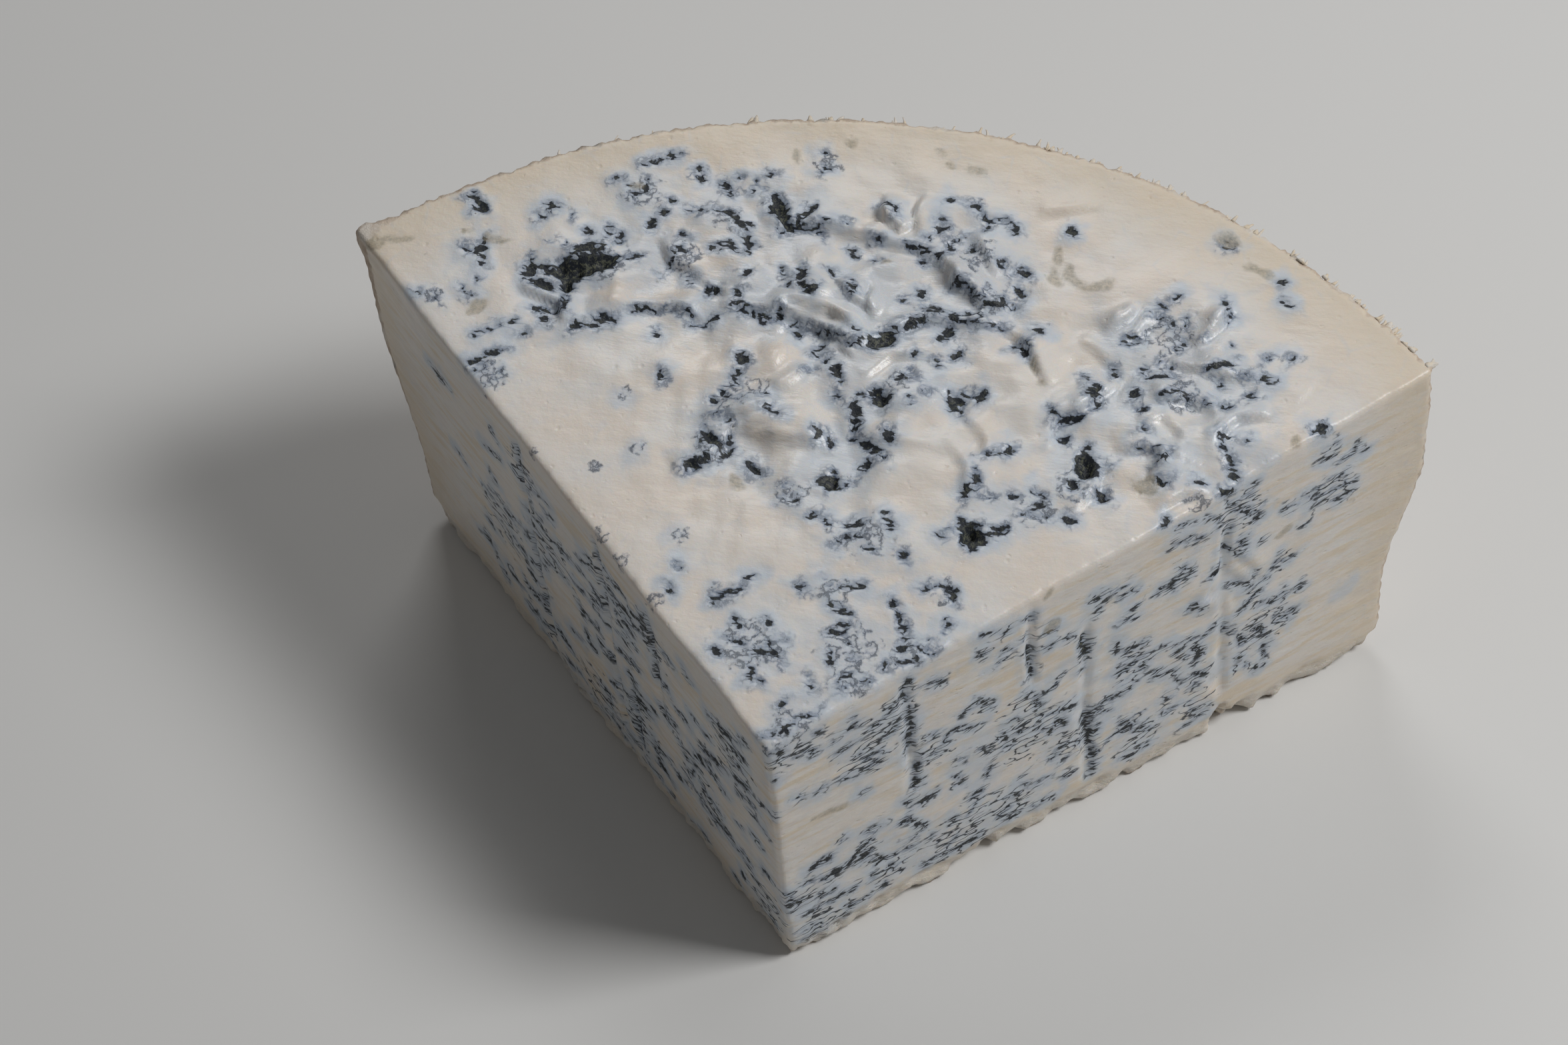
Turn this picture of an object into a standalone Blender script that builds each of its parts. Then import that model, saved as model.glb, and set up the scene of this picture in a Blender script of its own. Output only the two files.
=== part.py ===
"""A wedge of blue-veined cheese, cut from the lower half of a wheel and standing on the wheel's foot.

It is made the way the real one is. A wheel is turned, a knife takes its upper half off, two more
knives cut the wedge out, and the piercing needle's channels that those two cuts opened are left
as grooves in the cut faces.

The wedge points along -Y. Its origin is the middle of the base of its bounding box, +Z is up, and
lengths are in metres. Run it with: blender --background --python part.py
"""

from math import cos, pi, radians, sin

import bpy
from mathutils import Vector

# The wheel. Its side is (distance inside the widest radius, height), from the top of the blank down
SIDE_RADIUS = 0.1542
SIDE_OUTLINE = (
    (0.0012, 0.1100),
    (0.0000, 0.0700),
    (0.0012, 0.0520),
    (0.0045, 0.0360),
    (0.0071, 0.0280),
    (0.0075, 0.0133),
)
FOOT_INSET = 0.0075  # the narrow foot, where the mould's band held the young wheel
FOOT_ROUNDING = 0.0095
FOOT_STEPS = 6
TURNED_STEPS = 96
MERGE_DISTANCE = 0.00001

# The cuts
WEDGE_ANGLE = radians(93.0)
APEX_HEIGHT = 0.073
TOP_TILT = radians(5.2)  # the upper cut climbs from the apex to the rim
AXIS_BEHIND_APEX = 0.0047  # the two downward cuts met a little past the wheel's centre
KNIFE_SIZE = 0.5

# The edges that a soft paste leaves
EDGE_ROUNDING = 0.0008
EDGE_STEPS = 2
EDGE_LEAST_ANGLE = radians(40.0)
FLAT_ANGLE = radians(0.5)  # faces that meet at less than this are one flat face

# The needle's channels: (distance from the apex, lowest point, highest point) on each cut face
CHANNEL_RADIUS = 0.0014
CHANNEL_DEPTH = 0.0009
CHANNEL_SIDES = 12
RIGHT_CHANNELS = (
    (0.0300, 0.037, 0.068),
    (0.0575, 0.050, 0.071),
    (0.0700, 0.008, 0.056),
    (0.1025, 0.012, 0.074),
)
LEFT_CHANNELS = (
    (0.0420, 0.036, 0.069),
    (0.0540, 0.010, 0.032),
    (0.0605, 0.012, 0.071),
    (0.0900, 0.010, 0.073),
)

# The paste
PASTE_COLOUR = (0.77, 0.70, 0.58, 1.0)
PASTE_ROUGHNESS = 0.45

HALF_ANGLE = WEDGE_ANGLE / 2
APEX_Y = -(SIDE_RADIUS - AXIS_BEHIND_APEX) / 2  # puts the middle of the box at the origin


def clear_scene():
    """Removes whatever the scene holds."""
    for old in list(bpy.data.objects):
        bpy.data.objects.remove(old, do_unlink=True)


def new_collection(name):
    """A collection of that name in the scene."""
    collection = bpy.data.collections.new(name)
    bpy.context.scene.collection.children.link(collection)
    return collection


def move_to(collection, obj):
    """Puts an object in one collection only."""
    for old in list(obj.users_collection):
        old.objects.unlink(obj)
    collection.objects.link(obj)


def wheel_profile():
    """Radius and height down the outside of the blank, from its axis at the top to its axis below."""
    blank_height = SIDE_OUTLINE[0][1]
    side = [(SIDE_RADIUS - inset, height) for inset, height in SIDE_OUTLINE]
    foot = []
    for step in range(FOOT_STEPS + 1):
        turn = pi / 2 * step / FOOT_STEPS
        radius = SIDE_RADIUS - FOOT_INSET - FOOT_ROUNDING * (1 - cos(turn))
        foot.append((radius, FOOT_ROUNDING * (1 - sin(turn))))
    return [(0.0, blank_height)] + side + foot + [(0.0, 0.0)]


def turned_wheel(collection):
    """The lower part of the wheel, turned about its own axis."""
    points = [(radius, 0.0, height) for radius, height in wheel_profile()]
    mesh = bpy.data.meshes.new("cheese_wedge")
    mesh.from_pydata(points, [(i, i + 1) for i in range(len(points) - 1)], [])
    wheel = bpy.data.objects.new("cheese_wedge", mesh)
    collection.objects.link(wheel)
    wheel.location = (0.0, APEX_Y - AXIS_BEHIND_APEX, 0.0)
    turning = wheel.modifiers.new("turning", "SCREW")
    turning.steps = TURNED_STEPS
    turning.render_steps = TURNED_STEPS
    turning.use_merge_vertices = True
    turning.merge_threshold = MERGE_DISTANCE
    return wheel


def add_cut(wheel, cutter):
    """Takes the cutter's shape out of the cheese."""
    cut = wheel.modifiers.new(cutter.name, "BOOLEAN")
    cut.operation = "DIFFERENCE"
    cut.solver = "EXACT"
    cut.object = cutter


def as_cutter(cutter, name, collection):
    """Names a cutter and keeps it out of the render."""
    cutter.name = name
    cutter.display_type = "WIRE"
    cutter.hide_render = True
    move_to(collection, cutter)
    return cutter


def knife(name, edge, outward, rotation, collection):
    """A block whose face passes through edge and whose body lies on the outward side of it."""
    middle = edge + outward * (KNIFE_SIZE / 2)
    bpy.ops.mesh.primitive_cube_add(size=KNIFE_SIZE, location=middle, rotation=rotation)
    return as_cutter(bpy.context.object, name, collection)


def knives(collection):
    """The upper knife and the two that cut the wedge out of the wheel."""
    apex = Vector((0.0, APEX_Y, 0.0))
    top = apex + Vector((0.0, 0.0, APEX_HEIGHT))
    upward = Vector((0.0, -sin(TOP_TILT), cos(TOP_TILT)))
    to_right = Vector((cos(HALF_ANGLE), -sin(HALF_ANGLE), 0.0))
    to_left = Vector((-cos(HALF_ANGLE), -sin(HALF_ANGLE), 0.0))
    return (
        knife("upper_knife", top, upward, (TOP_TILT, 0.0, 0.0), collection),
        knife("right_knife", apex, to_right, (0.0, 0.0, -HALF_ANGLE), collection),
        knife("left_knife", apex, to_left, (0.0, 0.0, HALF_ANGLE), collection),
    )


def needle_channels(side, places, collection):
    """Upright rods along one cut face, sunk into it; side is 1 for the right face, -1 for the left."""
    along = Vector((side * sin(HALF_ANGLE), cos(HALF_ANGLE), 0.0))
    outward = Vector((side * cos(HALF_ANGLE), -sin(HALF_ANGLE), 0.0))
    rods = []
    for number, (distance, low, high) in enumerate(places, 1):
        foot = Vector((0.0, APEX_Y, (low + high) / 2)) + along * distance
        place = foot + outward * (CHANNEL_RADIUS - CHANNEL_DEPTH)
        bpy.ops.mesh.primitive_cylinder_add(
            vertices=CHANNEL_SIDES, radius=CHANNEL_RADIUS, depth=high - low, location=place
        )
        name = f"{'right' if side > 0 else 'left'}_channel_{number}"
        rods.append(as_cutter(bpy.context.object, name, collection))
    return rods


def soften_edges(wheel):
    """Makes each flat side one face, then rounds the edges that the knives left."""
    flattening = wheel.modifiers.new("flat_faces", "DECIMATE")
    flattening.decimate_type = "DISSOLVE"
    flattening.angle_limit = FLAT_ANGLE
    rounding = wheel.modifiers.new("soft_edges", "BEVEL")
    rounding.width = EDGE_ROUNDING
    rounding.segments = EDGE_STEPS
    rounding.limit_method = "ANGLE"
    rounding.angle_limit = EDGE_LEAST_ANGLE


def paste_material():
    """Pale, moist paste."""
    material = bpy.data.materials.new("cheese_paste")
    material.use_nodes = True
    shader = material.node_tree.nodes["Principled BSDF"]
    shader.inputs["Base Color"].default_value = PASTE_COLOUR
    shader.inputs["Roughness"].default_value = PASTE_ROUGHNESS
    shader.inputs["Metallic"].default_value = 0.0
    return material


def main():
    """Turns the wheel, cuts the wedge out of it and opens the needle's channels."""
    clear_scene()
    cheese = new_collection("cheese_wedge")
    cutters = new_collection("cutters")
    wedge = turned_wheel(cheese)
    wedge.data.materials.append(paste_material())
    for blade in knives(cutters):
        add_cut(wedge, blade)
    soften_edges(wedge)
    for rod in needle_channels(1, RIGHT_CHANNELS, cutters) + needle_channels(-1, LEFT_CHANNELS, cutters):
        add_cut(wedge, rod)


main()
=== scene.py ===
"""A wedge of blue-veined cheese with its folds, pockets, veins and rind, for the frame's plain wedge.

It is laid out as an add-on and run as a script. The surface is worked out with numpy in millimetres
and stored in metres. The wedge points along -Y, so its point is at the box's lowest y, and +Z is up.
"""

from math import pi, radians

import bpy
import numpy as np
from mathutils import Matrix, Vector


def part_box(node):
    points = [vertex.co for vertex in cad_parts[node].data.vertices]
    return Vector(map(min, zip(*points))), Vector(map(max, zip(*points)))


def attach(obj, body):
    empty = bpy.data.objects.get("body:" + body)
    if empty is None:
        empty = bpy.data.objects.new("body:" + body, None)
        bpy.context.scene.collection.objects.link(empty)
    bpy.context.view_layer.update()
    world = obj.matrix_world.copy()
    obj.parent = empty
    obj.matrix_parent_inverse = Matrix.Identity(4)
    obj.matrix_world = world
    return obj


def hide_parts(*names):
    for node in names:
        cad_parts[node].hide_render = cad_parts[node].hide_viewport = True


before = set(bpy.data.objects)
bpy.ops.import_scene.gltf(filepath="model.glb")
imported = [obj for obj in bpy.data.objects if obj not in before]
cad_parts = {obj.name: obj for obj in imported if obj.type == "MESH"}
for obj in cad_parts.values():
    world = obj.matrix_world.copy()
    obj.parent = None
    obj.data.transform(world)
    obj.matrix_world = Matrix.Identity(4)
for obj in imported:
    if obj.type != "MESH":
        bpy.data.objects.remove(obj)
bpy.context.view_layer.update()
NODE = "cheese_wedge"
LOW, HIGH = (np.array(corner) * 1000.0 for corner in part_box(NODE))

bl_info = {
    "name": "Blue Cheese Wedge",
    "version": (1, 0, 0),
    "blender": (4, 5, 0),
    "location": "View3D > Sidebar > Cheese",
    "description": "Builds a wedge of blue-veined cheese with its veins, folds and rind",
    "category": "Add Mesh",
}

# ---------------------------------------------------------------------------------------------
# The wedge's shape, in millimetres
# ---------------------------------------------------------------------------------------------
METRES = 0.001
HALF_ANGLE = radians(46.5)
TOP_TILT = radians(5.2)
AXIS_BEHIND_POINT = 4.7
SIDE_RADIUS = HIGH[1] - LOW[1] + AXIS_BEHIND_POINT
POINT_HEIGHT = HIGH[2] - np.tan(TOP_TILT) * (HIGH[1] - LOW[1])
FOOT_INSET = 7.5
FOOT_ROUNDING = 9.5
WAIST = (22.0, 57.0)  # heights between which the side swells from the foot to its full radius
LEAN = 0.5
LEANING = (66.0, 92.0)  # heights between which the side leans in
HALF_ARC = SIDE_RADIUS * np.arcsin(HIGH[0] / SIDE_RADIUS)  # half the rim's length
BAND_LINE = 33.5  # height of the crease that the mould's band left in the rind

# Grid: steps along one cut face, and steps up a side
ACROSS = 172
UP = 87

# The needle's channels on each cut face: distance from the point, lowest and highest place
CHANNEL_RADIUS = 1.4
CHANNEL_DEPTH = 0.9
RIGHT_CHANNELS = ((30.0, 37, 68), (57.5, 50, 71), (70.0, 8, 56), (102.5, 12, 74))
LEFT_CHANNELS = ((42.0, 36, 69), (54.0, 10, 32), (60.5, 12, 71), (90.0, 10, 73))

# Veins and pockets that the top cut opened: half-width, then the places along each one, as x and
# distance from the point, in millimetres
TOP_VEINS = (
    # the long pocket on the left, and what hangs from it
    (1.3, -72, 103, -71.5, 99), (1.2, -71, 97.2, -67, 96.8), (1.2, -71, 101, -66, 100.5),
    (2.5, -66, 102, -62, 101.5, -58, 103.5, -55, 105), (1.5, -64, 105.5, -58, 107.5),
    (1.6, -64, 99.5, -62.5, 96.5), (0.8, -54, 105.5, -50, 107), (0.7, -62.8, 95, -63, 92),
    (0.9, -69, 91.2, -66, 92.2, -63, 91.3), (0.8, -67, 89.5, -65, 88.5),
    (1.0, -60.5, 87.8, -58.5, 88.2), (0.8, -55, 91, -52, 90.3), (0.5, -58, 88, -53, 90.5),
    (1.1, -69.3, 84.8),
    # towards the left corner
    (0.7, -87, 104.5, -86, 103, -83.5, 103.2), (0.7, -83, 106, -82.8, 103, -81.5, 100.5),
    (0.9, -89, 116.5, -88, 117), (1.0, -87.5, 115.3, -85, 113), (0.7, -73, 116.5, -70.5, 116.5),
    (0.7, -71.5, 114.5, -73.5, 113), (0.6, -66.3, 114.8), (0.7, -62.5, 111.7), (0.6, -69.5, 107.5),
    (0.6, -66, 108, -66.5, 106.5), (0.6, -58, 113, -58.5, 111), (0.8, -55.5, 112, -55, 110),
    (0.9, -50, 116, -49.8, 114), (0.6, -49, 118.3, -47.5, 118.2), (0.6, -82, 96),
    (0.5, -84.5, 93.5, -82, 92.5), (0.8, -89.5, 91, -89, 90), (0.6, -93, 91),
    (0.6, -78, 83, -76, 84.5, -74, 86), (0.6, -72, 87), (0.8, -72.3, 80, -75, 78.5, -78, 75.5),
    (0.7, -76, 74, -74.5, 76), (0.6, -71.7, 75),
    # the back of the left half
    (0.8, -57, 124, -55, 121.5, -53, 123, -53.5, 126), (0.7, -60.5, 125, -58, 126),
    (0.9, -48, 122, -47, 121.5), (0.6, -55, 130, -51, 131.5, -49.5, 133, -48, 133.2),
    (0.6, -43.7, 130.4), (0.5, -44.5, 128.5, -42, 128.2), (0.8, -44, 113, -42, 112.7),
    (1.0, -43.5, 108.5, -41, 109), (0.6, -43, 107, -43.5, 105.5), (0.7, -46, 103),
    # its second entry follows the crease of the fold on the left: partly mould, partly painted shadow
    # under the fold's lip
    (0.9, -39, 103.2), (0.4, -49.5, 93.5, -46, 94.5, -42, 95, -38, 94.5),
    (0.6, -38, 127.5, -36.5, 126, -36, 124.8), (0.9, -38, 120.5, -35, 120.5, -33, 119, -31, 116.5),
    (0.7, -30.5, 118, -29.5, 117.8), (0.7, -31, 116, -29, 113.5, -28.5, 112),
    (0.6, -36.5, 111.5, -34, 112, -31, 111), (0.5, -44, 119, -40, 119.5),
    (0.7, -24, 117.5, -22.5, 117), (0.9, -20, 138.5, -19, 138), (1.0, -18.5, 134.2, -17.5, 134.5),
    (0.8, -29, 131.5, -28, 131.5), (0.6, -31, 129), (0.6, -35, 129.5), (0.6, -31.5, 127),
    (0.6, -29, 127),
    # the upright pocket at the back and the creases beside it
    (1.7, -26.5, 125.5, -25.5, 122.5, -23.5, 120, -21.5, 119.2),
    (0.9, -20, 119.5, -19.5, 122.5, -18, 124.5), (0.6, -21, 119, -16, 118.8, -15, 117.5),
    (0.5, -16, 120.5, -14.5, 120.5), (0.7, -11.5, 120.8, -10.5, 120.8), (1.0, -28, 106),
    (0.9, -35, 101.5, -34.5, 100.2), (0.6, -33, 101.5), (0.8, -18, 109, -16.5, 107, -15.5, 104),
    (1.2, -16.5, 103.5, -13.5, 102.5), (0.6, -21, 108.5, -20.5, 107.3), (0.6, -19, 104),
    (0.7, -11.5, 109.5, -10, 108), (0.8, -7.2, 106.5, -5.5, 103.8), (0.7, -8.3, 115.8, -7.5, 114.5),
    (0.6, -4, 114.2, -3, 114), (0.7, -29, 101, -28.3, 98.5), (1.0, -29, 97.3, -27.5, 96.8),
    (0.6, -27, 96.2, -24.5, 95.6), (0.7, -23, 95.3, -21.8, 95),
    # a thin dark line along the crease of the long fold: partly mould, partly painted shadow under the
    # fold's lip
    (0.3, -28, 97.5, -22, 96.6, -18, 96, -12, 95.2, -9, 94.3, -4, 92),
    (0.7, -19.5, 98.5, -19, 96.5), (0.8, -15, 94.5, -14, 93.8),
    # the first two follow the crease of the fold on the left: partly mould, partly painted shadow under
    # the fold's lip
    (0.4, -38, 94.8, -36, 93.5, -34, 92.5, -31, 94.5), (0.4, -36, 92.7, -33, 92.5), (0.5, -43, 91),
    (0.6, -42.7, 88.5), (0.7, -3.5, 94.5),
    # the dark crack in the middle and the ragged line that goes on from it: partly mould, partly painted
    # shadow where the fold's lip overhangs the crack
    (0.5, -3, 91.6, -0.5, 92.2), (1.5, 0, 92.3, 2.5, 94.2, 4.5, 96),
    (0.6, 5, 96.5, 7, 98.3, 9.5, 100), (0.8, 8, 103.5, 10, 104, 12, 103, 11, 101.5, 8.5, 102),
    (0.45, 12, 102.3, 15, 102.6, 18, 103.3, 20.5, 102.5), (0.45, 14, 101, 18, 101, 22, 100.8),
    (0.9, 22.5, 100.8, 25, 101), (0.6, 14, 99.5, 14.5, 97.5, 13, 96),
    (0.9, 13.5, 109.5, 16, 108.8, 18, 107.5, 20, 106), (0.8, 20.5, 108.5, 21, 106.5),
    (0.9, 20.5, 104.8, 23, 105.5, 24, 107.5), (0.6, 25, 106.8, 27, 106),
    (0.8, 26, 111.5, 27.3, 109), (1.1, 21.5, 116, 22.7, 115.3), (1.3, 26.3, 114.8, 27.3, 114.5),
    (0.6, 24.8, 114.2), (1.0, 15.5, 118.8, 15.7, 118.3), (0.6, 11.3, 117.3), (0.6, 19, 117.3),
    (0.7, 5.5, 114.8, 7, 115), (0.8, 9, 116.5, 9.8, 116), (0.5, 2, 118, 5, 117.5, 7, 117),
    (0.6, -4, 118.7, -2.5, 118.5), (1.0, 8.2, 125, 8, 122), (0.6, 6.5, 119.5),
    (0.7, 8, 129.7, 9.5, 130), (0.8, 11.5, 129.3, 14, 129, 16, 127, 18, 125.5, 17, 123.5),
    (0.5, 18.5, 126.5, 21.5, 126.5), (0.6, 22, 126, 23.5, 124),
    (0.5, 13.5, 122, 11, 120.5, 10, 118), (0.9, -4, 126.3, -3, 125.8),
    (0.6, -1.5, 125.5, -0.5, 124), (0.9, 4.2, 105, 4.5, 104), (0.7, 7, 108, 7.5, 107, 7.2, 106),
    (0.6, 9, 91.7, 10, 91.9), (0.9, 16.5, 92.5, 18, 94), (0.6, 13, 90.8, 15, 90),
    (0.9, -10.2, 91.3, -9.5, 89.8), (0.6, -7.5, 87.5),
    (1.0, 7, 85.5, 9, 87.5, 9.8, 85.5, 11.5, 85.5), (0.7, 13, 83.5, 14, 82.3),
    (0.7, 10.5, 81, 11, 80), (0.7, -11.5, 84.5, -9, 85.3), (0.8, -5, 85.8, -4.3, 84, -3.5, 82.5),
    (0.6, -4.8, 80.5, -3, 79.8), (1.6, 3, 80.5, 5, 81, 5.3, 79), (0.6, 0, 80.5, 2, 79.8),
    (0.8, -0.3, 78.5, 0.5, 76), (1.5, 18.7, 82.2, 20, 80.5), (0.5, 17.5, 83.5, 20.8, 79),
    (0.7, 21, 84, 23, 84), (0.9, 23.5, 85, 24, 83),
    # the stem left of the middle
    (1.0, -24.3, 86.5, -24, 85, -23.2, 84), (0.7, -24.5, 82.5, -24.8, 80.5),
    (0.7, -25.5, 79, -23, 79), (1.2, -26.5, 77.5, -25, 76), (0.7, -22.5, 75.5),
    (0.8, -18.5, 76.5, -17, 77), (0.9, -28, 74.8, -27, 74.5), (0.8, -16.5, 73.5, -14.5, 72.5),
    (1.5, -27.5, 67.5, -26, 65.5, -23.5, 64.5), (1.1, -22.5, 67, -22.5, 63),
    (0.9, -25, 62, -27, 60.3), (1.6, -29, 59.5, -27.5, 59.5), (0.8, -28.5, 58),
    (0.6, -27, 71, -23.5, 71), (0.9, -17.5, 62.5, -16.5, 61, -15, 60), (0.9, -39, 80, -38.8, 78.3),
    # the front of the middle
    (1.1, -5.5, 69.5, -4.5, 70), (0.7, -3, 70.5, -2, 68.3), (0.9, 0.5, 75, 2, 72.5), (0.9, 1, 70.8),
    (1.0, 8, 73.5, 8.5, 71), (0.8, 3, 70, 5.5, 69, 7.5, 68), (1.0, 7.8, 67, 8.3, 66.5),
    (0.9, 5, 66, 4.7, 64), (2.3, -2, 60, 0.5, 59.8), (0.8, -1, 62.5), (0.7, 2, 60.5),
    (0.7, -9.5, 57.5, -8, 58), (0.9, -8.5, 55, -6, 54.3), (0.8, -3, 52, -1.5, 51.8),
    (0.6, 0, 51.5, 1.5, 50), (0.7, 4, 50.3, 6, 50.8, 8, 52), (0.9, 11, 54, 12.3, 52.5, 13, 50.5),
    (0.7, 3, 46, 5, 48.3, 8, 49), (0.7, 9, 46.5, 11, 45.5), (0.9, 16.5, 45.5, 17.5, 44.5),
    (1.2, 25.3, 62, 25.5, 60.3), (0.6, 26, 67, 27.5, 62), (0.6, 27, 70, 30, 71),
    (2.6, 27, 53, 29.5, 51.5), (0.8, 24, 52, 22.5, 50.5), (1.3, 29, 50),
    (1.1, 31.5, 53, 34.5, 54.5), (0.8, 26, 55), (1.0, 22, 39, 25.5, 40), (1.1, 26, 40, 27.5, 37.5),
    (0.9, -2, 35.5, -0.8, 35.8), (0.7, -26, 37.3, -24.7, 36.5), (0.7, -26, 32, -25.2, 30.5),
    # near the point
    (0.7, -10.7, 36, -12.5, 33.5, -15, 31.5, -17, 30.8), (1.0, -17, 31.5, -16.5, 30),
    (0.6, -11.7, 27, -10, 24.5), (0.7, -6.2, 27.5, -5, 25.5), (0.8, -12.5, 22.5, -9, 21.5),
    (0.7, -15, 19.5, -12.5, 18.5), (0.7, -7, 20, -4, 21, -1.5, 20.5), (0.6, -4.5, 22.5, -1, 23),
    (0.7, -7, 17, -6.5, 15), (0.6, -4.5, 14.3), (0.7, -0.5, 18), (0.7, 3, 18, 4, 16.5, 5.5, 14.2),
    (0.6, 2, 38.5, 4, 37), (0.6, 5, 35.5, 8, 37, 10.5, 38), (0.6, 5, 33.2, 10, 30.8),
    (0.7, 6, 26, 8.5, 26.7, 10, 28.5), (0.7, 8, 28.5, 11, 24.5), (0.7, 7, 22.5, 8, 20),
    (0.6, 11, 22, 13, 22), (0.8, 10, 17, 13, 18.5), (0.8, 13, 16, 11, 15), (0.6, 14, 18, 16, 17),
    (0.9, 16.3, 35.5, 17, 34.5), (0.8, 18, 33.5, 20, 29), (0.9, 20, 29, 20.5, 25, 21, 22.5),
    (0.7, 24, 25.5, 28, 25), (0.7, 21, 22.5, 24.5, 23.5), (0.6, 17.5, 22, 19, 21),
    (0.6, 21, 26, 25, 28), (0.7, 28, 32.5, 27.5, 30.5), (0.7, 0.5, 9.5, 1.5, 11),
    (0.7, 2, 5, 5, 7.5, 8, 9.5), (0.7, -0.5, 2.5, 3, 4.5),
    # the right half
    (1.0, 34.5, 126, 34.7, 124.8), (0.9, 64, 128, 66, 127.5), (0.7, 78.5, 115.5, 79.5, 115.2),
    (0.5, 77.5, 120.5), (0.8, 31.5, 101, 33.5, 100), (0.9, 29.5, 96.5, 30.8, 95),
    (0.5, 28, 96, 31, 98), (1.2, 48.5, 101.5, 51.5, 101.5), (1.0, 54.3, 108.3),
    (0.7, 55, 111, 55.5, 110), (0.6, 56.5, 107.5, 58, 107), (0.8, 60.3, 108, 60.5, 106.5),
    (0.6, 56.5, 112.5, 58, 113.5), (0.8, 60, 103.5, 61, 102), (0.7, 59, 101.5, 60.5, 101),
    (0.6, 64.5, 104.5), (1.1, 58.5, 97.2, 59, 96.7), (0.6, 56.8, 97),
    (0.8, 66, 96.3, 69, 97.5, 71, 98.7), (0.7, 72, 96.8, 75, 96.3, 79, 96), (0.8, 77, 101),
    (0.8, 81.8, 102.7), (0.5, 69.8, 103.5), (0.6, 66, 114.5, 67.5, 112), (0.8, 68.5, 110),
    (0.7, 53.5, 95.8, 55, 93.5), (0.9, 54.5, 93.2, 57.5, 93.5, 60, 94), (0.8, 48.5, 95, 48.3, 94),
    (0.7, 43, 92, 44, 91), (1.3, 46, 89.5, 45, 87.5), (0.6, 47, 87, 45.5, 84),
    (0.8, 38, 82.5, 40.5, 81, 44, 82.5), (0.9, 53.5, 89), (1.0, 58.5, 88.5, 61, 89.5, 64.5, 90),
    (0.6, 66.5, 90, 67.5, 89), (1.0, 71, 88.5, 72.3, 89), (0.8, 54, 85, 56.5, 86),
    (0.6, 69.3, 94, 70, 93.5), (0.6, 74, 92.5, 76.5, 92), (1.0, 71, 81.5, 73, 82),
    (0.5, 76.5, 81.5), (0.8, 73.5, 77.5, 74.5, 75), (0.6, 71, 79.5, 73, 78),
    (0.7, 75, 74, 75.5, 73), (0.9, 40.8, 77.3, 42, 76.2), (0.6, 56.5, 81.5, 57.3, 80),
    (0.6, 55.5, 76.5, 58.5, 77, 62.5, 76.5), (0.6, 61.5, 75, 60.5, 73.5),
    (0.9, 30.5, 71, 32.5, 73.5), (2.1, 45.5, 73, 47, 71, 47.5, 69), (1.3, 44, 67, 46, 65.5),
    (1.4, 50.5, 65.3, 52, 64.3), (0.8, 46.5, 75, 47.5, 74.5), (0.6, 49, 72.5, 51, 73),
    (0.8, 60.5, 71, 62, 69.5, 63.5, 70), (0.7, 68, 71, 69.5, 70.8), (1.1, 73.5, 69.8, 74.5, 69.7),
    (0.6, 38, 64.5, 41, 62.8), (0.8, 34, 62, 36, 61.8), (1.0, 38.5, 60, 40, 61),
    (0.7, 37, 58.5, 42, 58), (1.1, 45, 58.3, 46.5, 58.8), (0.5, 28, 61, 31, 61),
    (0.8, 63.3, 60.3, 63.7, 62), (1.4, 88.7, 86.5, 89.8, 86),
)
# Veins that are olive, from an older growth
TOP_OLIVE = (
    (0.9, 35.5, 117, 36, 115, 40, 112.5, 43, 113.5, 44.5, 114.5), (0.7, 32, 116, 34, 113),
    (0.6, 32.5, 121, 33, 118), (1.3, 63, 129, 67, 128.5), (0.7, 70, 123.5, 73, 122.5, 75, 120.5),
    (0.7, 3, 142.5, 5, 141.5), (0.8, 6, 139.5, 8, 138.8), (0.7, 10.5, 139.5, 14, 137.5),
    (1.0, -25.5, 137.5, -24.5, 136), (1.0, -14, 141.5), (1.5, -81, 88.5, -79, 90),
    (1.0, -88.5, 108, -87, 108), (1.6, -107.5, 101.5, -104.5, 102.5), (0.6, -104, 103, -98, 104),
    (0.5, -83, 106.8, -78, 106.8), (1.3, -2, 113.5, -0.5, 113.2), (1.7, 57, 68.5, 60, 69),
    (0.8, 85.5, 83.5, 85.7, 81.5), (0.7, 35, 88.5), (0.7, 34, 91, 33, 94), (1.0, -55, 124),
    (0.9, -19.5, 57.5, -18.5, 56.8),
)
# Rosettes and nets of fine veins: x, distance from the point, and half-width
TOP_NETS = (
    (-54, 123, 4), (-73, 73.5, 4), (-89.5, 91, 2.2), (-45.5, 73.8, 2), (-39.8, 61.2, 2),
    (-46.5, 56, 2), (-27, 43, 2.3), (-60, 57.5, 1.8), (-42, 41, 2.2), (-36.5, 36, 2.5),
    (-28.5, 28, 2.2), (8, 48.5, 5), (-8, 21, 6), (11, 24, 6), (12, 17, 4), (22, 24, 4.5),
    (4, 6.5, 5), (25, 39, 3), (6, 36, 4), (-57, 104, 5), (-24, 76, 4), (-25, 64, 4), (40, 60, 4),
    (45, 66, 4), (57, 104, 5), (20, 107, 4), (10, 102, 3), (17, 117, 4), (8, 85, 3), (-8, 56, 3.5),
    (62, 90, 4), (-41, 108, 4), (-20, 79, 3), (70, 66, 3), (-35, 118, 3), (-18, 136, 3),
)
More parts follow.
